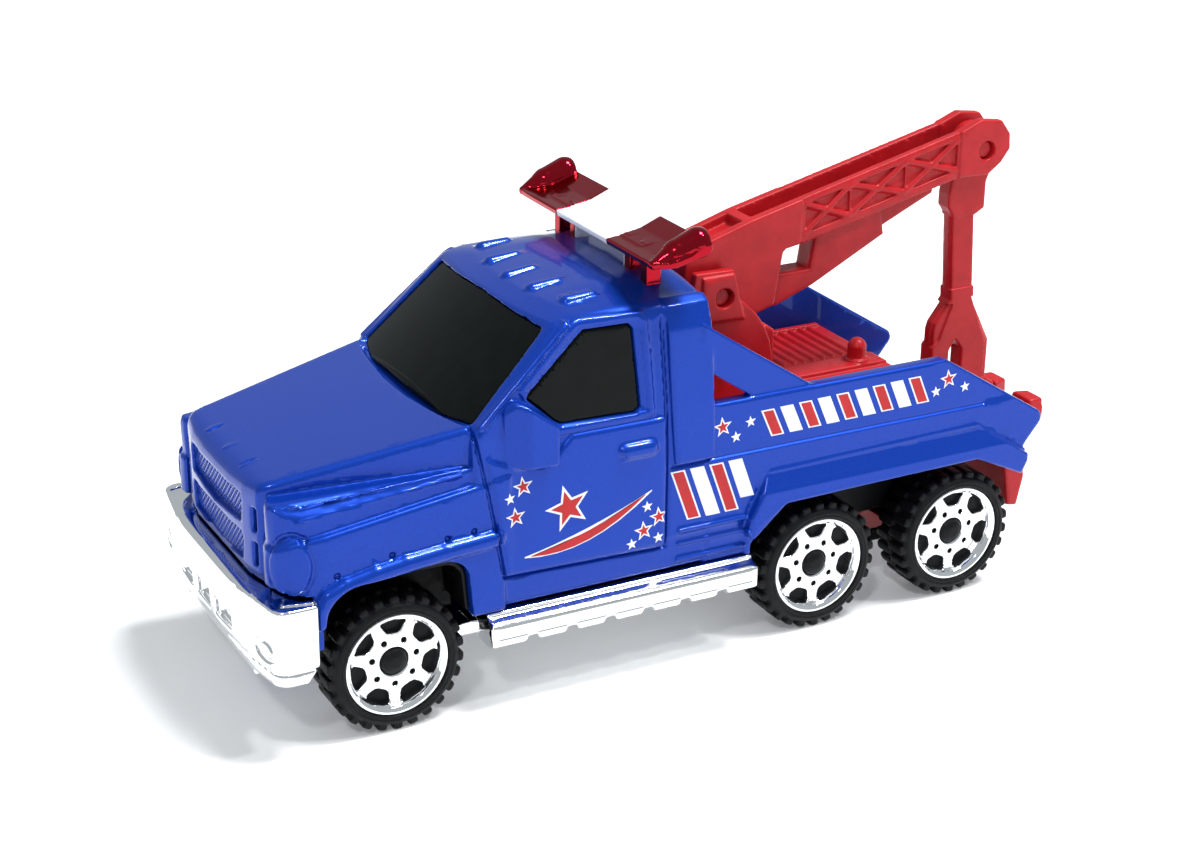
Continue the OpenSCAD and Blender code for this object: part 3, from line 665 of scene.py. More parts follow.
def nose_details(form):
    # Beads over the fender, then the bead round the arch, running back to the door
    for line in SHELF_BEADS:
        for start, end in zip(line, line[1:]):
            form.add(bar(start, end, 0.11), 0.06)
    bead(form, ARCH_BEAD, 12.6, 0.75, 0.12)
    # Groove between the grille's shell and the lamp
    form.engrave(bar((36.45, 8.85, 13.5), (36.45, 8.85, 19.6), 0.4), 0.3, 0.15)
    for x, z in ((32.1, 14.75), (27.5, 15.55), (22.8, 15.95), (20.5, 16.1)):
        form.engrave(disc((x, z), 1, 0.26, 11, 15), 0.3, 0.05)
    lamp = corner_oval((35.5, 11.6), 15.9, 1.7, 2.6)
    form.emboss(lamp, 0.14, 0.2)
    form.engrave(ring_of(lamp, 0.13), 0.16, 0.08)
    for y in (0.0, 4.1):
        front, rear = (height_at(form, x, y, 26) for x in (36.3, 35.1))
        form.add(drop((36.3, y, front - 0.12), (35.1, y, rear - 0.06), 0.22, 0.12), 0.1)
        form.engrave(bar((36.4, y - 0.26, front), (35.2, y - 0.26, rear), 0.12), 0.2, 0.05)
    for z in (13.95, 17.2):
        opening = [(-1, z), (5.6, z + 0.5), (5.95, z + 2.4), (5.7, z + 2.85), (-1, z + 2.85)]
        form.cut(cross(opening, GRILLE_X, 40), 0.15)
    for z in (14.6, 17.5):
        form.cut(block((36.1, 7.3, z), (40, 7.95, z + 2.0), 0.2), 0.1)
    # Valance tucked in behind the bumper
    outside = plan(
        [(30, 15), (30, 12.15)] + arc(33.0, 8.7, 3.4, 90, 20)
        + [(37.0, 6.0), (37.0, -1), (41, -1), (41, 15)], 5, 15
    )
    under = side([(33.9, 5), (33.9, 12.9), (35.6, 13.6), (37.2, 14.1), (41, 14.1), (41, 5)], -1, 15)
    form.cut(common(outside, under), 0.1)


def cab_details(form):
    form.emboss(side(DOOR, 11.6, 15), 0.28, 0.5)
    form.emboss(ring_of(side(WINDOW_FRAME, 10, 15), 0.32), 0.16, 0.2)
    for line in SHUT_LINES:
        form.engrave(seam(line, 0.26, 11), 0.28, 0.08)
    form.emboss(seam([(19.6, 24.5), (11.6, 31.5)], 0.4, 10), 0.2, 0.08)
    form.add(bar((4.75, 12.35, 20.35), (7.0, 12.35, 20.35), 0.8), 0.2)
    form.engrave(bar((7.4, 13.0, 19.9), (8.2, 13.0, 20.3), 0.35), 0.25, 0.15)
    mirror_plan = [(13.5, 11.7), (13.5, 13.75), (15.9, 13.6), (17.7, 12.4), (17.9, 11.7)]
    mirror_side = [(13.2, 20.7), (18.2, 20.7), (18.2, 25.4), (16.9, 26.4), (16.0, 26.1), (13.2, 24.0)]
    form.add(common(plan(mirror_plan, 20.7, 26.6), side(mirror_side, 11, 14), soft=0.5), 0.15)
    for i in (0, 1, 2):
        x, y = 10.5 - 0.35 * i * i, 3.9 * i
        front, rear = (height_at(form, x + dx, y, 35) for dx in (0.9, -1.2))
        form.add(drop((x + 0.9, y, front - 0.22), (x - 1.4, y, rear - 0.12), 0.66, 0.46), 0.1)


def side_details(form):
    form.engrave(seam([(2.6, 18.15), (-29.2, 18.15)], 0.24, 11.6), 0.18, 0.08)
    for z in (9.5, 11.0, 12.2):
        form.emboss(seam([(-4.6, z), (1.8, z)], 0.4, 11.6), 0.2, 0.15)
    # Thin beads along the rear fender's top edge and its lip
    bead(form, FENDER_CREASE, 12.5, 0.2)
    bead(form, FENDER_LIP, 13.1, 0.32)


def body_details(form):
    nose_details(form)
    cab_details(form)
    side_details(form)


def body_hollows(form):
    form.cut(side([(10, 0), (36.0, 0), (36.0, 18.9), (35.0, 20.6), (19.0, 22.6), (10, 22.6)], -1, 9.0))
    form.cut(side([(10, 0), (35.4, 0), (34.4, 16.6), (20.0, 18.4), (10, 18.4)], -1, 11.2))
    form.cut(HOLLOW)
    form.cut(side(front_arch(0), 6, 15), 0.12)
    form.cut(block((32.9, -1, 0), (40, 12.15, 13.35)), 0.15)
    form.cut(block((34.1, 11, 0), (40, 15, 13.35)), 0.15)
    form.cut(SCREEN_OPENING, 0.2)
    form.cut(side(SIDE_WINDOW, 8, 15), 0.2)
    form.cut(cross(REAR_WINDOW, -3, 2), 0.15)


def body_inner_parts(form):
    form.add(block((-25.5, -1, 15.6), (-0.9, 11.2, 16.8)))
    for x, top in zip(RIVETS_X, (21.6, 16.2)):
        form.add(disc((x, 0), 2, 1.5, PAN_Z - 0.3, top))
        form.add(disc((x, 0), 2, 2.2, PAN_Z - 0.5, PAN_Z, 0.15))


body_form = body_outside()
body_details(body_form)
body_hollows(body_form)
body_inner_parts(body_form)
piece("cast_body", body_form.mesh("cast_body", 0.02), "chassis", "blue_paint", BLUE, "body_casting")


def well_shade_form():
    """Black sheets as painted shade in the wheel wells: a wall behind each wheel and a roof over the front
    one.
    """
    form = Form((-26.0, 0, 7), (34.2, 12.4, 23.4), 0.2)
    for well in WELL_SHADE_WALLS:
        form.add(side(well, WELL_Y, WELL_Y + 1.0, 0.1))
    over_wheel = plan([(15, 6), (36, 6), (36, 13), (15, 13)], 9.0, 20)
    form.add(common(side(front_arch(-0.02), WELL_Y, 11.9), over_wheel))
    form.cut(side(front_arch(-SHADE_SHEET_THICKNESS), WELL_Y + 1.0, 13))
    return form


# Painted shade: these black sheets stand for the shadow inside the wheel wells
piece("wheel_well_shade", well_shade_form().mesh("wheel_well_shade", 0.02), "chassis", "black_plastic", BLACK_PLASTIC_AND_SHADE, "body_casting")


def grille_mesh_form():
    """A plate of crossed wires behind the grille openings."""
    pitch, wire, root_2 = 0.44, 0.075, 1.41421

    def lattice(x, y, z):
        crossings = [np.abs((u / pitch) % 1 - 0.5) * pitch for u in ((y + z) / root_2, (y - z) / root_2)]
        return np.maximum(np.minimum(*crossings) - wire, x - GRILLE_X - 0.12)

    form = Form((GRILLE_X - 0.5, 0, 13.4), (GRILLE_X + 0.4, 6.6, 20.8), 0.055)
    form.add(block((GRILLE_X - 0.3, -1, 13.7), (GRILLE_X + 0.05, 6.3, 20.5)))
    wires = Shape(lattice, np.array([GRILLE_X, 0, 13.9]), np.array([GRILLE_X + 0.3, 6.1, 20.3]))
    form.add(common(wires, block((GRILLE_X, -1, 13.9), (GRILLE_X + 0.3, 6.1, 20.3)), soft=0.05), 0.03)
    return form


grille_mesh = grille_mesh_form().mesh("grille_mesh", 0.01)
piece("grille_mesh", grille_mesh, "chassis", "blue_paint", BLUE, "body_casting")

# ------------------------------------------------------------------ printed trim


def ringed(outline, rings=4, span=0.35):
    """Points and triangles that fill an outline in rings round its middle."""
    edge = []
    for (ax, az), (bx, bz) in zip(outline, outline[1:] + outline[:1]):
        count = max(1, math.ceil(math.hypot(bx - ax, bz - az) / span))
        edge += [(ax + (bx - ax) * i / count, az + (bz - az) * i / count) for i in range(count)]
    edge = np.array(edge)
    middle = edge.mean(0)
    n = len(edge)
    points = [middle + (edge - middle) * (ring + 1) / rings for ring in range(rings)]
    faces = [(0, 1 + i, 1 + (i + 1) % n) for i in range(n)]
    for ring in range(rings - 1):
        a = 1 + ring * n
        faces += [(a + i, a + n + i, a + n + (i + 1) % n, a + (i + 1) % n) for i in range(n)]
    return np.concatenate([[middle]] + points), faces, [1 + (rings - 1) * n + i for i in range(n)]


SCAN_FROM_Y, SCAN_TO_Y, SCAN_STEP = 14.4, 11.0, 0.04


def side_surface(form, points):
    """How far out the form's left side is at each place in the side view."""
    y = np.arange(SCAN_FROM_Y, SCAN_TO_Y, -SCAN_STEP)
    grid = np.stack(np.broadcast_arrays(points[:, None, 0], y[None, :], points[:, None, 1]), -1)
    d = form.sample(grid.reshape(-1, 3)).reshape(len(points), len(y))
    first = np.argmax(d < 0, axis=1)
    row = np.arange(len(points))
    inner, outer = d[row, first], d[row, first - 1]
    return y[first] + SCAN_STEP * inner / (inner - outer)


def print_on(name, form, outlines, lift, material):
    """Thin closed films on both sides of a form, lift proud of it."""
    vertices, polygons = [], []
    for outline in outlines:
        flat, faces, rim = ringed(outline)
        y = side_surface(form, flat)
        turned_over = sum(a[0] * b[1] - b[0] * a[1] for a, b in zip(outline, outline[1:] + outline[:1])) > 0
        for hand in (1, -1):
            base = sum(len(v) for v in vertices)
            for level in (lift, -0.06):
                vertices.append(np.stack([flat[:, 0] + DATUM_X, hand * (y + level), flat[:, 1]], 1))
            n = len(flat)
            shell = list(faces) + [tuple(n + i for i in reversed(face)) for face in faces]
            shell += [(a, a + n, b + n, b) for a, b in zip(rim, rim[1:] + rim[:1])]
            for face in shell:
                face = face if turned_over == (hand < 0) else tuple(reversed(face))
                polygons.append([base + i for i in face])
    data = bpy.data.meshes.new(name)
    data.from_pydata([tuple(v * MM) for v in np.concatenate(vertices)], [], polygons)
    data.validate()
    piece(name, data, "chassis", "blue_paint", material, "body_casting")


def star(x, z, r, lean=0.1):
    turns = [lean + math.pi * i / 5 for i in range(10)]
    return [(x + q * math.sin(a), z + q * math.cos(a)) for a, q in zip(turns, (r, 0.42 * r) * 5)]


def stripe(top_x, top_z, low_x, low_z, width, border=0.0):
    """A slanted stripe whose middle runs from the top to the bottom place."""
    half = width / 2 + border
    lean = (low_x - top_x) / (top_z - low_z)
    top, low = top_x - border * lean, low_x + border * lean
    return [
        (top + half, top_z + border), (top - half, top_z + border), (low - half, low_z - border),
        (low + half, low_z - border)
    ]


def swoosh(start, end, sag, width):
    """A tapered stroke from start to end, bowed downwards by sag."""
    shares = np.linspace(0, 1, 9)
    upper, lower = [], []
    for t in shares:
        x, z = (a + (b - a) * t for a, b in zip(start, end))
        bow = -4 * sag * t * (1 - t)
        half = width * (0.08 + 0.92 * t * (1 - t) * 4) / 2
        upper.append((x, z + bow + half))
        lower.append((x, z + bow - half))
    return upper + lower[::-1]


# Stripes by their top X and Z and their low X and Z. The rearmost one on the locker stops above the fender
LOCKER_STRIPES = [(2.0 - 1.83 * i, 17.55, 0.4 - 1.83 * i, 13.2) for i in range(3)]
LOCKER_STRIPES.append((2.0 - 1.83 * 3, 17.55, -4.73, 14.2))
RAIL_STRIPES = [(-6.7 - 1.86 * i, 21.35 + 0.04 * i, -7.65 - 1.86 * i, 19.15 + 0.03 * i) for i in range(9)]
RED_STARS = [(16.3, 19.2), (17.0, 16.7), (3.9, 14.1), (5.3, 13.1), (-2.3, 20.7), (-25.2, 21.0)]
WHITE_STARS = [
    (17.5, 18.4), (5.0, 15.2), (3.9, 12.2), (6.4, 12.1), (-5.0, 20.7), (-3.6, 19.6), (-23.9, 20.05),
    (-27.0, 20.0)
]
BORDER = 0.12


def side_prints():
    """Stars and stripes: the white ones, white borders under the red ones, and the red ones on top."""
    white = [star(x, z, 0.52) for x, z in WHITE_STARS]
    white += [star(x, z, 0.92) for x, z in RED_STARS]
    red = [star(x, z, 0.58) for x, z in RED_STARS]
    for row, width in ((LOCKER_STRIPES, 1.1), (RAIL_STRIPES, 1.05)):
        for i, place in enumerate(row):
            white.append(stripe(*place, width, BORDER))
            if i % 2 == 0:
                red.append(stripe(*place, width - 0.1))
    # A plain star and two strokes on the door
    white += [star(12.3, 16.6, 2.1, 0.25), swoosh((16.2, 13.0), (4.6, 16.6), 0.9, 1.15)]
    red += [star(12.3, 16.6, 1.55, 0.25), swoosh((15.6, 13.0), (5.2, 16.35), 0.85, 0.8)]
    return white, red


white_prints, red_prints = side_prints()
print_on("white_trim", body_form, white_prints, 0.015, WHITE_INK)
print_on("red_trim", body_form, red_prints, 0.03, RED_INK)

# ------------------------------------------------------------------ base


BUMPER_HALF_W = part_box("baseplate")[1].y / MM
BUMPER_REAR_X = 33.6
STEP_X = (-5.6, 19.4)
STEP_Y = 13.5
NOTCHES = 7
TRACK_IN_Y = TYRE_IN_Y - 0.35


def bumper(form):
    outline = (
        [(BUMPER_REAR_X, -1), (BUMPER_REAR_X, BUMPER_HALF_W), (36.6, BUMPER_HALF_W)]
        + arc(36.4, BUMPER_HALF_W - 1.4, 1.4, 85, 20, 4) + [(38.5, 8.0), (BUMPER_X, 3.5), (BUMPER_X, -1)]
    )
    profile = [
        (BUMPER_REAR_X, 13.3), (BUMPER_REAR_X, 9.6), (33.9, 8.2), (35.1, 6.6), (38.3, 6.6), (38.8, 8.2),
        (BUMPER_X, 9.6),
        (BUMPER_X, 11.7), (38.5, 13.1), (38.1, 13.3)
    ]
    form.add(common(plan(outline, 6.6, 13.3), side(profile, -1, 14), soft=0.45))
    # Seat for the nose, and room for the fender's foot beside it
    form.cut(plan([(32, -1), (36.9, -1), (36.9, 6.0), (35.8, 11.2), (35.0, 12.2), (32, 12.2)], 12.9, 14))
    form.cut(block((30, 11.95, 0), (34.2, 15, 20)))
    form.cut(block((30, -1, 6), (40, 5.2, 7.2)), 0.3)
    for y in (-0.1, 4.4):
        form.cut(block((38.3, y - 1.7 if y > 0 else -1, 8.7), (40, y + 1.7, 10.3), 0.2), 0.12)
    # Groove along the top and a lamp recess at each corner
    groove = [(36.0, 11.0), (37.3, 11.9), (37.4, 12.5), (34.0, 13.3), (34.0, 13.0), (36.7, 12.4)]
    form.engrave(plan(groove, 12.5, 14), 0.2)
    lamp = egg((37.9, 11.6, 9.3), (1.0, 1.35, 0.8))
    form.engrave(ring_of(lamp, 0.16), 0.22, 0.1)
    form.engrave(block((30, 5.2, 7.7), (40, 14, 7.95)), 0.12)
    form.add(block((BUMPER_REAR_X, -1, PAN_Z + 0.6), (37.4, 7.4, 8.0)), 0.3)


def side_step(form):
    (x0, x1), edge = STEP_X, BODY_LOW_Z - 0.06
    profile = [
        (10.6, 5.5), (12.9, 5.5), (STEP_Y, 5.9), (STEP_Y, 7.55), (STEP_Y - 0.1, 7.7), (12.45, 8.2),
        (12.45, edge),
        (10.6, edge)
    ]
    form.add(cross(profile, x0, x1, 0.12))
    form.add(block((x0 + 0.3, 6, 5.6), (x1 - 0.5, 11.0, 6.8), 0.2))
    pitch = (x1 - x0) / NOTCHES
    for i in range(1, NOTCHES):
        middle = x0 + i * pitch
        notch = [(middle + dx, z) for dx, z in ((-0.95, 5), (-0.5, 6.25), (0.3, 6.25), (0.8, 5))]
        form.cut(side(notch, 12.3, 14), 0.15)
    form.engrave(cross([(13.0, 6.45), (14, 6.45), (14, 6.7), (13.0, 6.7)], x0 + 0.5, x1 - 0.5), 0.1, 0.05)


def underside(form):
    """Relief on the bottom of the base: frame rails, shaft, tanks and an exhaust."""
    form.add(block((-31, -1, PAN_Z), (34, TRACK_IN_Y, PAN_Z + 1.3), 0.2))
    form.emboss(block((-29, 3.2, PAN_Z - 1), (31, 4.2, PAN_Z + 0.3)), 0.2, 0.15)
    for x in (-21.5, -6.0, 3.0, 13.0, 21.5):
        form.emboss(block((x - 0.5, -1, PAN_Z - 1), (x + 0.5, 3.6, PAN_Z + 0.3)), 0.2, 0.15)
    form.engrave(block((4.4, -1, PAN_Z - 1), (11.6, 2.2, PAN_Z + 0.2)), 0.25, 0.15)
    form.emboss(disc((17.2, 0), 2, 1.9, PAN_Z - 1, PAN_Z + 0.3), 0.25, 0.2)
    form.emboss(block((-17, 5.2, PAN_Z - 1), (-10, 7.0, PAN_Z + 0.3)), 0.15, 0.2)


def baseplate_form():
    form = Form((-31.6, 0, 4), (39.6, 14.2, 13.9), 0.15)
    underside(form)
    for x, z in AXLES.values():
        form.add(block((x - 1.7, -1, PAN_Z), (x + 1.7, TRACK_IN_Y, z + 1.5), 0.2), 0.2)
        form.cut(block((x - 1.0, -1, PAN_Z + 0.9), (x + 1.0, 5.6, 20)))
    side_step(form)
    bumper(form)
    for x, z in AXLES.values():
        form.cut(disc((x, z), 1, 0.66, -1, 11))
    for x in RIVETS_X:
        form.cut(disc((x, 0), 2, 1.56, 0, 12))
        form.cut(disc((x, 0), 2, 2.26, 0, PAN_Z + 0.1))
    return form


piece("base", baseplate_form().mesh("base", 0.02), "chassis", "plated", CHROME, "baseplate")

# ------------------------------------------------------------------ windows


def grown(shape, by):
    """A shape with its surface moved outwards by a distance, or inwards where that is negative."""
    return Shape(lambda *xyz: shape.distance(*xyz) - by, shape.low - by, shape.high + by)


def window_form():
    form = Form((-1.5, 0, 22), (20.6, 12.9, 33), 0.14)
    form.add(grown(HOLLOW, -0.06))
    skin = grown(CAB_OUTSIDE, -0.22)
    for opening in (SCREEN_OPENING, side(SIDE_WINDOW, 9, 14), cross(REAR_WINDOW, CAB_REAR_X, 1)):
        form.add(common(grown(opening, -0.07), skin, soft=0.12))
    form.cut(grown(HOLLOW, -1.1))
    form.cut(block((-10, -1, 0), (30, 20, 22.4)))
    return form


piece("windows", window_form().mesh("windows", 0.02), "chassis", "smoked_window", SMOKE, "window_insert")

# ------------------------------------------------------------------ light bar

BAR_FRONT, BAR_REAR = (4.7, 35.75), (-0.45, 37.0)
BAR_HALF_W = 12.6
BAR_SPLIT_Y = 4.4


def light_bar_form(ends):
    """Either the plain middle of the bar or its two red ends."""
    form = Form((-1.4, 0, 31.5), (5.4, 13.4, 38.6), 0.1)
    (fx, fz), (rx, rz) = BAR_FRONT, BAR_REAR
    wing_side = [
        (fx, fz), (3.4, fz + 0.1), (1.4, rz - 0.75), (rx, rz), (rx - 0.15, rz - 0.5), (rx + 0.1, rz - 0.95),
        (2.6, fz - 0.45), (fx - 0.15, fz - 0.55)
    ]
    wing_plan = (
        [(rx - 1, -1), (rx - 1, BAR_HALF_W + 0.2)] + arc(2.4, BAR_HALF_W - 2.2, 2.4, 80, 25, 4)
        + [(fx + 1, -1)]
    )
    form.add(common(side(wing_side, -1, 14), plan(wing_plan, 30, 40), soft=0.2))
    leg = [(2.9, 36.0), (2.9, ROOF_Z - 1.1), (1.5, ROOF_Z - 1.1), (1.5, 36.1)]
    for y in (4.2, 7.1):
        form.add(side(leg, y, y + 1.1, 0.12), 0.1)
    form.add(side([(3.3, 35.9), (3.1, 34.9), (1.3, 34.9), (1.0, 36.2)], 4.2, 8.2, 0.12), 0.1)
    # Reflector under the middle
    form.add(side([(3.4, 35.8), (2.3, ROOF_Z + 0.2), (1.7, ROOF_Z + 0.2), (2.2, 36.0)], -1, 4.2, 0.1), 0.1)
    if ends:
        inside = block((rx - 0.1, 9, 30), (fx, 14, 40))
        for pod in (
            drop((0.2, 11.5, 36.75), (2.2, 11.5, 36.15), 1.3, 1.1),
            drop((2.2, 11.5, 36.15), (4.2, 11.6, 35.5), 1.1, 0.4),
        ):
            form.add(common(pod, inside, soft=0.25), 0.15)
        form.cut(block((-5, -1, 30), (9, BAR_SPLIT_Y, 40)))
    else:
        form.cut(block((-5, BAR_SPLIT_Y, 30), (9, 20, 40)))
    return form


bar_middle = light_bar_form(False).mesh("bar_middle", 0.01)
bar_ends = light_bar_form(True).mesh("bar_ends", 0.01)
# The plated middle takes flat near-white colour as a painted reflection
piece("bar_middle", bar_middle, "chassis", "plated", PAINTED_REFLECTION_WHITE, "light_bar")
piece("bar_ends", bar_ends, "chassis", "plated", CANDY_RED, "light_bar")

# ------------------------------------------------------------------ deck and tower

EAR_SIDE = [
    (-3.0, FLOOR_Z - 0.6), (-3.6, 26.2), (-4.5, 31.0), (-8.3, 30.9), (-8.9, 28.3), (-10.0, 27.3),
    (-10.8, 26.5),
    (-11.6, 25.3), (-12.2, 23.9), (-12.5, 22.6), (-12.7, FLOOR_Z - 0.6)
]
TOWER_WEB = [(-3.2, FLOOR_Z - 0.6), (-3.2, 24.6), (-12.4, 25.0), (-13.2, 24.4), (-13.2, FLOOR_Z - 0.6)]
SHELF_Z = 12.4
APRON_X = -34.9
TAIL_WALL = 1.2
RIB_PITCH = 1.06
RIBS = 11
POST = (-24.0, 0)


def deck_floor(form):
    edge = RAIL_IN_Y - 0.06
    form.add(block((DECK_REAR_X, -1, 16.9), (CAB_REAR_X - 0.06, edge, FLOOR_Z), 0.2))
    form.emboss(block((DECK_REAR_X + 0.3, -1, FLOOR_Z - 1), (-12, 1.3, FLOOR_Z + 2)), 0.4, 0.2)
    form.emboss(block((DECK_REAR_X + 0.3, 9.9, FLOOR_Z - 1), (-13.6, 10.6, FLOOR_Z + 2)), 0.3, 0.2)
    for i in range(RIBS):
        x = -14.6 - RIB_PITCH * i
        form.add(bar((x, 2.4, FLOOR_Z), (x, 9.6, FLOOR_Z), 0.3), 0.12)
    form.add(disc(POST, 2, 0.85, FLOOR_Z, FLOOR_Z + 1.9))
    form.add(egg((*POST, FLOOR_Z + 1.7), (0.85, 0.85, 0.85)), 0.1)
    form.add(disc(POST, 2, 1.15, FLOOR_Z, FLOOR_Z + 0.65), 0.15)


def deck_tail(form):
    edge = RAIL_IN_Y - 0.06
    wall_x = DECK_REAR_X + TAIL_WALL
    form.add(block((DECK_REAR_X, -1, SHELF_Z - 0.3), (wall_x, edge, FLOOR_Z), 0.2), 0.15)
    form.add(block((APRON_X, -1, SHELF_Z - 1.6), (wall_x, TYRE_IN_Y - 0.4, SHELF_Z), 0.2), 0.3)
    apron = [
        (APRON_X + 1.4, SHELF_Z), (APRON_X + 1.4, 11.0), (APRON_X + 0.6, 6.4), (APRON_X - 0.5, 6.2),
        (APRON_X - 1.1, 9.0), (APRON_X - 0.7, SHELF_Z)
    ]
    form.add(side(apron, -1, 10.6, 0.3), 0.2)
    form.engrave(cross([(7.2, 7.4), (9.8, 7.4), (9.8, 9.0), (7.2, 9.0)], -40, APRON_X), 0.25, 0.1)
    tongue = [(APRON_X, -1), (APRON_X, 5.2), (-38, 4.2), (TONGUE_X, 4.0), (TONGUE_X, -1)]
    form.add(plan(tongue, SHELF_Z - 1.2, SHELF_Z, 0.2), 0.2)
    form.add(block((TONGUE_X, -1, SHELF_Z - 1.2), (TONGUE_X + 1.6, 4.0, SHELF_Z + 0.8), 0.3), 0.2)
    notch = [(-40.8, -1), (-40.8, 1.0), (TONGUE_X - 1, 2.0), (TONGUE_X - 1, -1)]
    form.cut(plan(notch, SHELF_Z - 2, SHELF_Z + 2), 0.2)


def tower(form):
    form.add(side(TOWER_WEB, -1, 2.8, 0.25), 0.3)
    form.add(side(EAR_SIDE, 2.75, 3.65, 0.2), 0.2)
    pad = [(-5.1, 26.5), (-5.1, 30.6), (-8.3, 30.6), (-8.9, 28.2), (-9.4, 26.4)]
    form.add(side(pad, 3.4, 3.9, 0.2), 0.12)
    form.cut(disc(BOOM_PIVOT, 1, PIN_HOLE_R, -1, 10), 0.1)


def deck_form():
    form = Form((-43.4, 0, 5.8), (-1.2, 11.2, 31.4), 0.14)
    deck_floor(form)
    deck_tail(form)
    tower(form)
    return form


piece("deck", deck_form().mesh("deck", 0.015), "chassis", "red_plastic", RED, "deck_insert")

# ------------------------------------------------------------------ boom

BOOM_HALF_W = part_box("hook_arm")[1].y / MM + 0.35
BEAM_TOP = ((-10.9, 34.5), (-32.4, 39.7))
BEAM_LOW = ((-16.2, 31.6), (-32.8, 35.5))
BOOM_PLATE = (
    [(-4.4, 33.0), (-6.7, 33.2), BEAM_TOP[0], BEAM_TOP[1], (-34.7, 40.6), (-37.0, 40.3), (-38.0, 39.0)]
    + [(-38.1, 37.6), (-37.2, 36.4), (-35.8, 35.4), BEAM_LOW[1], BEAM_LOW[0], (-14.2, 31.2)]
    + [(-13.4, 26.4), (-10.5, 25.6), (-6.0, 26.0), (-4.2, 29.0)]
)
BOOM_ROOT = [
    (-4.4, 33.0), (-6.7, 33.2), (-10.9, 34.3), (-14.2, 31.4), (-13.4, 26.4), (-10.5, 25.6), (-6.0, 26.0),
    (-4.2, 29.0)
]
LIFT_BARREL = [
    (-12.6, 26.2), (-12.6, 28.4), (-14.5, 28.9), (-17.6, 28.9), (-18.1, 32.3), (-24.9, 34.0), (-25.4, 31.0),
    (-18.0, 27.3), (-14.2, 25.9)
]
# The trunnions end inside the ears, and the hook's pin inside the side plates
TRUNNION_Y = 3.3
HOOK_PIN_Y = BOOM_HALF_W - 0.5
BAYS = ((-16.4, -20.9), (-21.1, -26.7), (-26.9, -32.3))


def beam_z(x, height):
    """Height of a point at x in the beam, 0 at its lower edge and 1 at its upper."""
    low, top = (
        line[0][1] + (x - line[0][0]) * (line[1][1] - line[0][1]) / (line[1][0] - line[0][0])
        for line in (BEAM_LOW, BEAM_TOP)
    )
    return low + height * (top - low)


def truss_bay(form, front, rear):
    """A sunk panel with an X of raised braces."""
    places = zip((front, rear, rear, front), (0.2, 0.2, 0.84, 0.84))
    corners = [(x, beam_z(x, height)) for x, height in places]
    form.engrave(side(corners, BOOM_HALF_W - 0.5, 4), 0.42, 0.12)
    for a, b in ((0, 2), (1, 3)):
        (ax, az), (bx, bz) = corners[a], corners[b]
        form.add(bar((ax, BOOM_HALF_W - 0.4, az), (bx, BOOM_HALF_W - 0.4, bz), 0.32), 0.12)


def boom_form():
    form = Form((-38.5, 0, 25.3), (-3.9, 4.3, 41.0), 0.12)
    half = BOOM_HALF_W
    form.add(side(BOOM_PLATE, half - 1.0, half, 0.2))
    inner_face = [(-10.5, 32.0), (-32.5, 37.3), (-32.5, 42), (-10.5, 42)]
    form.engrave(side(inner_face, half - 1.4, half - 0.9), 0.12, 0.1)
    outer_face = [(-15.8, 30), (-16.1, 38), (-32.5, 42), (-32.6, 34)]
    form.engrave(side(outer_face, half - 0.2, half + 1), 0.14, 0.1)
    for front, rear in BAYS:
        truss_bay(form, front, rear)
    form.add(side(BOOM_ROOT, -1, half - 0.3, 0.2), 0.2)
    form.cut(side([(-7.2, 40), (-7.2, 32.6), (-10.4, 33.5), (-10.4, 40)], -1, half - 0.9), 0.15)
    form.add(side([(-13, 31.3), (-13, 32.6), (-29.5, 36.6), (-29.5, 35.2)], -1, half - 0.5, 0.15), 0.2)
    form.add(side([(-10.4, 33.0), (-10.4, 34.3), (-11.3, 34.55), (-11.3, 33.0)], -1, half - 0.5, 0.15), 0.1)
    # Moulded lift cylinder: barrel and rod
    form.add(side(LIFT_BARREL, -1, 1.25, 0.4), 0.25)
    form.add(side([(-24.6, 34.0), (-31.0, 35.4), (-30.8, 34.0), (-25.2, 31.5)], -1, 0.8, 0.4), 0.15)
    form.cut(side([(-14.4, 30.85), (-16.1, 31.2), (-16.1, 31.7), (-14.4, 31.4)], -1, 5), 0.12)
    form.cut(disc(HOOK_PIVOT, 1, PIN_HOLE_R, -1, 10), 0.12)
    form.add(disc(BOOM_PIVOT, 1, PIN_R, -1, TRUNNION_Y, 0.15), 0.1)
    return form


piece("boom_arm", boom_form().mesh("boom_arm", 0.01), "boom", "red_plastic", RED, "boom")

# ------------------------------------------------------------------ hook arm

HOOK_OUTLINE = [
    (-33.3, 37.7), (-32.6, 33.6), (-32.6, 32.4), (-33.1, 31.7), (-33.6, 23.4), (-32.0, 21.3), (-31.8, 20.6),
    (-31.8, 14.2), (-33.9, 14.2), (-33.9, 18.4), (-34.5, 19.4), (-35.3, 18.4), (-35.3, 13.4), (-39.4, 13.4),
    (-39.4, 14.4), (-38.7, 14.8), (-38.7, 18.6), (-36.3, 23.2), (-35.8, 31.4), (-36.7, 31.9), (-36.7, 34.4),
    (-37.6, 36.6)
]


# A thinner shaft, and bevels on both fork arms
HOOK_RELIEF = (
    ([(-32, 31.4), (-37, 31.4), (-36.4, 24.4), (-33.2, 24.4)], 0.12),
    ([(-33.9, 23.0), (-31, 22.8), (-31, 18.2), (-32.6, 19.6)], 0.18),
    ([(-36.0, 23.4), (-38.0, 18.6), (-38.0, 15.0), (-40, 15.0), (-40, 23.4)], 0.22),
)


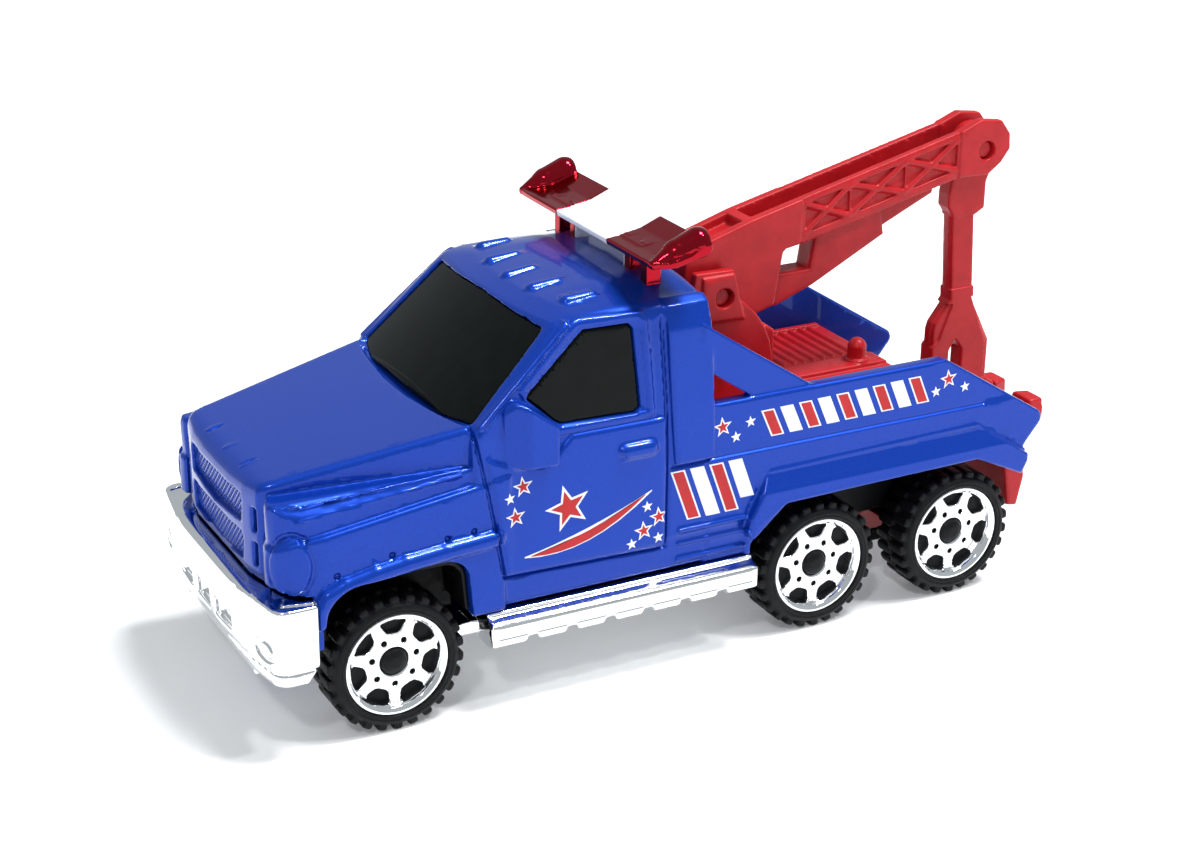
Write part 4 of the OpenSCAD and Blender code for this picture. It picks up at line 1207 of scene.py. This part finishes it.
def hook_form():
    form = Form((-39.8, 0, 13.0), (-30.5, 2.6, 40.3), 0.1)
    form.add(side(HOOK_OUTLINE, -0.9, 0.9, 0.25))
    form.add(disc(HOOK_PIVOT, 1, 2.2, -0.9, 0.9, 0.2), 0.1)
    for outline, depth in HOOK_RELIEF:
        form.engrave(side(outline, 0.4, 2), depth, 0.1)
    form.add(disc(HOOK_PIVOT, 1, PIN_R, -1, HOOK_PIN_Y, 0.15), 0.1)
    return form


piece("hook", hook_form().mesh("hook", 0.01), "hook", "red_plastic", RED, "hook_arm")

# ------------------------------------------------------------------ wheels

LUGS = 26
RIM_R = 4.45
RIM_WINDOWS = 7
LUG_HOLE_R = 1.95
RIM_DEPTH = 1.25
RIM_WINDOW = [
    (-0.35, 2.5), (-0.62, 2.62), (-1.08, 3.3), (-1.0, 3.6), (-0.5, 3.7), (0.5, 3.7), (1.0, 3.6), (1.08, 3.3),
    (0.62, 2.62), (0.35, 2.5)
]


def turned(profile):
    """A profile in radius and Y, turned about the Y axis through the origin."""
    flat = np.array(profile, float)

    def distance(x, y, z):
        r = np.hypot(x, z)
        return outline_distance(r, y + 0 * r, profile)

    reach = flat[:, 0].max()
    low, high = flat[:, 1].min(), flat[:, 1].max()
    return Shape(distance, np.array([-reach, low, -reach]), np.array([reach, high, reach]))


def around(count, offset, radius, half, y0, y1, r0, r1):
    """Blocks between two radii and two widths, spaced evenly round the Y axis."""

    def distance(x, y, z):
        r = np.hypot(x, z)
        turn = np.arctan2(x, z) / (2 * math.pi) * count + offset
        across = np.abs(turn - np.round(turn)) * (2 * math.pi / count) * radius - half
        return soft_max(soft_max(across, np.maximum(y0 - y, y - y1), 0.25), np.maximum(r0 - r, r - r1), 0.25)

    return Shape(distance, np.array([-r1, y0, -r1]), np.array([r1, y1, r1]))


def tyre_form():
    inner, outer = TYRE_IN_Y, TYRE_OUT_Y
    middle = (inner + outer) / 2
    reach = WHEEL_R + 0.3
    form = Form((-reach, inner - 0.3, -reach), (reach, outer + 0.3, reach), 0.09, mirrored=False)
    back = RIM_FACE_Y - RIM_DEPTH
    form.add(turned([
        (-1, inner + 0.9), (4.0, inner + 0.9), (4.3, inner), (5.1, inner), (5.45, inner + 0.5), (5.5, middle),
        (5.45, outer - 0.6), (5.2, outer - 0.12), (4.85, outer), (RIM_R + 0.02, outer - 0.05),
        (RIM_R + 0.02, back),
        (1.15, back), (1.15, back + 0.45), (0.95, back + 0.72), (0.5, back + 0.9), (-1, back + 0.95)
    ]))
    form.cut(disc((0, 0), 1, 0.6, 0, RIM_FACE_Y - 2.4))
    form.add(around(LUGS, 0.0, WHEEL_R, 0.44, middle - 0.15, outer - 0.3, 5.2, WHEEL_R), 0.1)
    form.add(around(LUGS, 0.5, WHEEL_R, 0.44, inner + 0.3, middle + 0.15, 5.2, WHEEL_R), 0.1)
    ring = [(4.72, outer - 0.5), (4.86, outer - 0.5), (4.86, outer + 0.5), (4.72, outer + 0.5)]
    form.engrave(turned(ring), 0.1, 0.08)
    return form


def rim_form():
    face = RIM_FACE_Y
    back = face - RIM_DEPTH
    form = Form((-4.7, back - 0.2, -4.7), (4.7, face + 0.2, 4.7), 0.055, mirrored=False)
    form.add(turned([
        (1.16, back), (RIM_R, back), (RIM_R, face - 0.1), (RIM_R - 0.12, face), (RIM_R - 0.3, face - 0.02),
        (RIM_R - 0.55, face - 0.25), (RIM_R - 0.75, face - 0.65), (3.2, face - 0.78), (2.4, face - 0.66),
        (1.6, face - 0.6), (1.3, face - 0.66), (1.16, face - 0.8)
    ]))
    for i in range(RIM_WINDOWS):
        turn = 2 * math.pi * i / RIM_WINDOWS
        form.cut(side(rotated(RIM_WINDOW, turn), back - 1, face + 1), 0.1)
        hole = rotated([(0, LUG_HOLE_R)], turn + math.pi / RIM_WINDOWS)[0]
        form.cut(disc(hole, 1, 0.24, back - 1, face + 1), 0.06)
    return form


def rotated(points, turn):
    c, s = math.cos(turn), math.sin(turn)
    return [(c * u + s * v, c * v - s * u) for u, v in points]


def add_wheels():
    parts = (
        ("wheel", tyre_form().mesh("tyre", 0.01, at_datum=False), "black_plastic", BLACK_PLASTIC_AND_SHADE),
        ("rim", rim_form().mesh("rim", 0.01, at_datum=False), "plated", CHROME),
    )
    for axle, (x, z) in AXLES.items():
        for hand, turn in (("left", 0.0), ("right", math.pi)):
            for kind, data, slot, material in parts:
                node = f"{axle}_{hand}_{kind}"
                thing = place_object(node + "_look", data)
                thing.location = ((x + DATUM_X) * MM, 0, z * MM)
                thing.rotation_euler = (0, 0, turn)
                if not data.materials:
                    data.materials.append(material)
                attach(thing, axle + "_wheelset")
                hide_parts(node)


def add_axles():
    """The axles keep their CAD shape and get their steel."""
    for axle in AXLES:
        node = frame["nodes"][axle + "_axle"]
        node.data.materials.clear()
        node.data.materials.append(STEEL)


add_wheels()
add_axles()

# ------------------------------------------------------------------ camera, lights and floor

CAMERA_AT = Vector((89.88, 157.70, 90.77)) * MM
AZIMUTH, ELEVATION, ROLL = (math.radians(v) for v in (151.59, 22.4, 0.67))


def add_camera():
    data = bpy.data.cameras.new("camera")
    data.lens, data.sensor_width = 67.13, 36.0
    data.clip_start, data.clip_end = 0.01, 20
    thing = place_object("camera", data)
    back = Vector((
        math.sin(AZIMUTH) * math.cos(ELEVATION), -math.cos(AZIMUTH) * math.cos(ELEVATION), math.sin(ELEVATION)
    ))
    right = Vector((0, 0, 1)).cross(back).normalized()
    up = back.cross(right)
    rolled_right = right * math.cos(ROLL) + up * math.sin(ROLL)
    rolled_up = up * math.cos(ROLL) - right * math.sin(ROLL)
    turn = Matrix((rolled_right, rolled_up, back)).transposed()
    thing.matrix_world = Matrix.Translation(CAMERA_AT) @ turn.to_4x4()
    bpy.context.scene.camera = thing


def add_light(name, place, target, size, power):
    data = bpy.data.lights.new(name, "AREA")
    data.size, data.energy = size, power
    thing = place_object(name, data)
    thing.location = place
    thing.rotation_euler = (Vector(target) - Vector(place)).to_track_quat("-Z", "Y").to_euler()


# The side of the room that is shaded a little differently from the rest
ROOM_FRONT = (0.62, 0.72, -0.3)


def add_world():
    """A plain grey room, nearly even: very slightly dimmer in front of the truck's left side."""
    world = bpy.data.worlds.new("studio")
    world.use_nodes = True
    tree = world.node_tree
    where = tree.nodes.new("ShaderNodeTexCoord")
    toward = tree.nodes.new("ShaderNodeVectorMath")
    toward.operation = "DOT_PRODUCT"
    toward.inputs[1].default_value = ROOM_FRONT
    ramp = tree.nodes.new("ShaderNodeValToRGB")
    tree.links.new(where.outputs["Generated"], toward.inputs[0])
    tree.links.new(toward.outputs["Value"], ramp.inputs["Fac"])
    tree.links.new(ramp.outputs["Color"], tree.nodes["Background"].inputs["Color"])
    ramp.color_ramp.elements[0].color = (0.42, 0.45, 0.47, 1)
    ramp.color_ramp.elements[0].position = 0.05
    ramp.color_ramp.elements[1].color = (0.40, 0.42, 0.44, 1)
    ramp.color_ramp.elements[1].position = 0.75
    tree.nodes["Background"].inputs["Strength"].default_value = 1.0
    bpy.context.scene.world = world


def add_floor():
    bpy.ops.mesh.primitive_plane_add(size=6, location=(0, 0, 0))
    floor = bpy.context.object
    floor.name = "floor"
    material, shader, _, _ = new_material("white_floor")
    settle(shader, {
        "Base Color": (0.86, 0.87, 0.88, 1), "Roughness": 0.7, "Emission Color": (1, 1, 1, 1),
        "Emission Strength": 0.12
    })
    floor.data.materials.append(material)


add_camera()
add_floor()
add_world()
add_light("softbox", (-0.42, 0.18, 1.32), (0, 0, 0), 0.30, 20.0)
add_light("spark", (-0.60, 0.51, 1.14), (0, 0, 0.01), 0.10, 5.0)
add_light("pillar_light", (0.65, 0.72, 1.07), (0, 0, 0.02), 0.12, 4.0)
bpy.context.scene.view_settings.view_transform = "Standard"
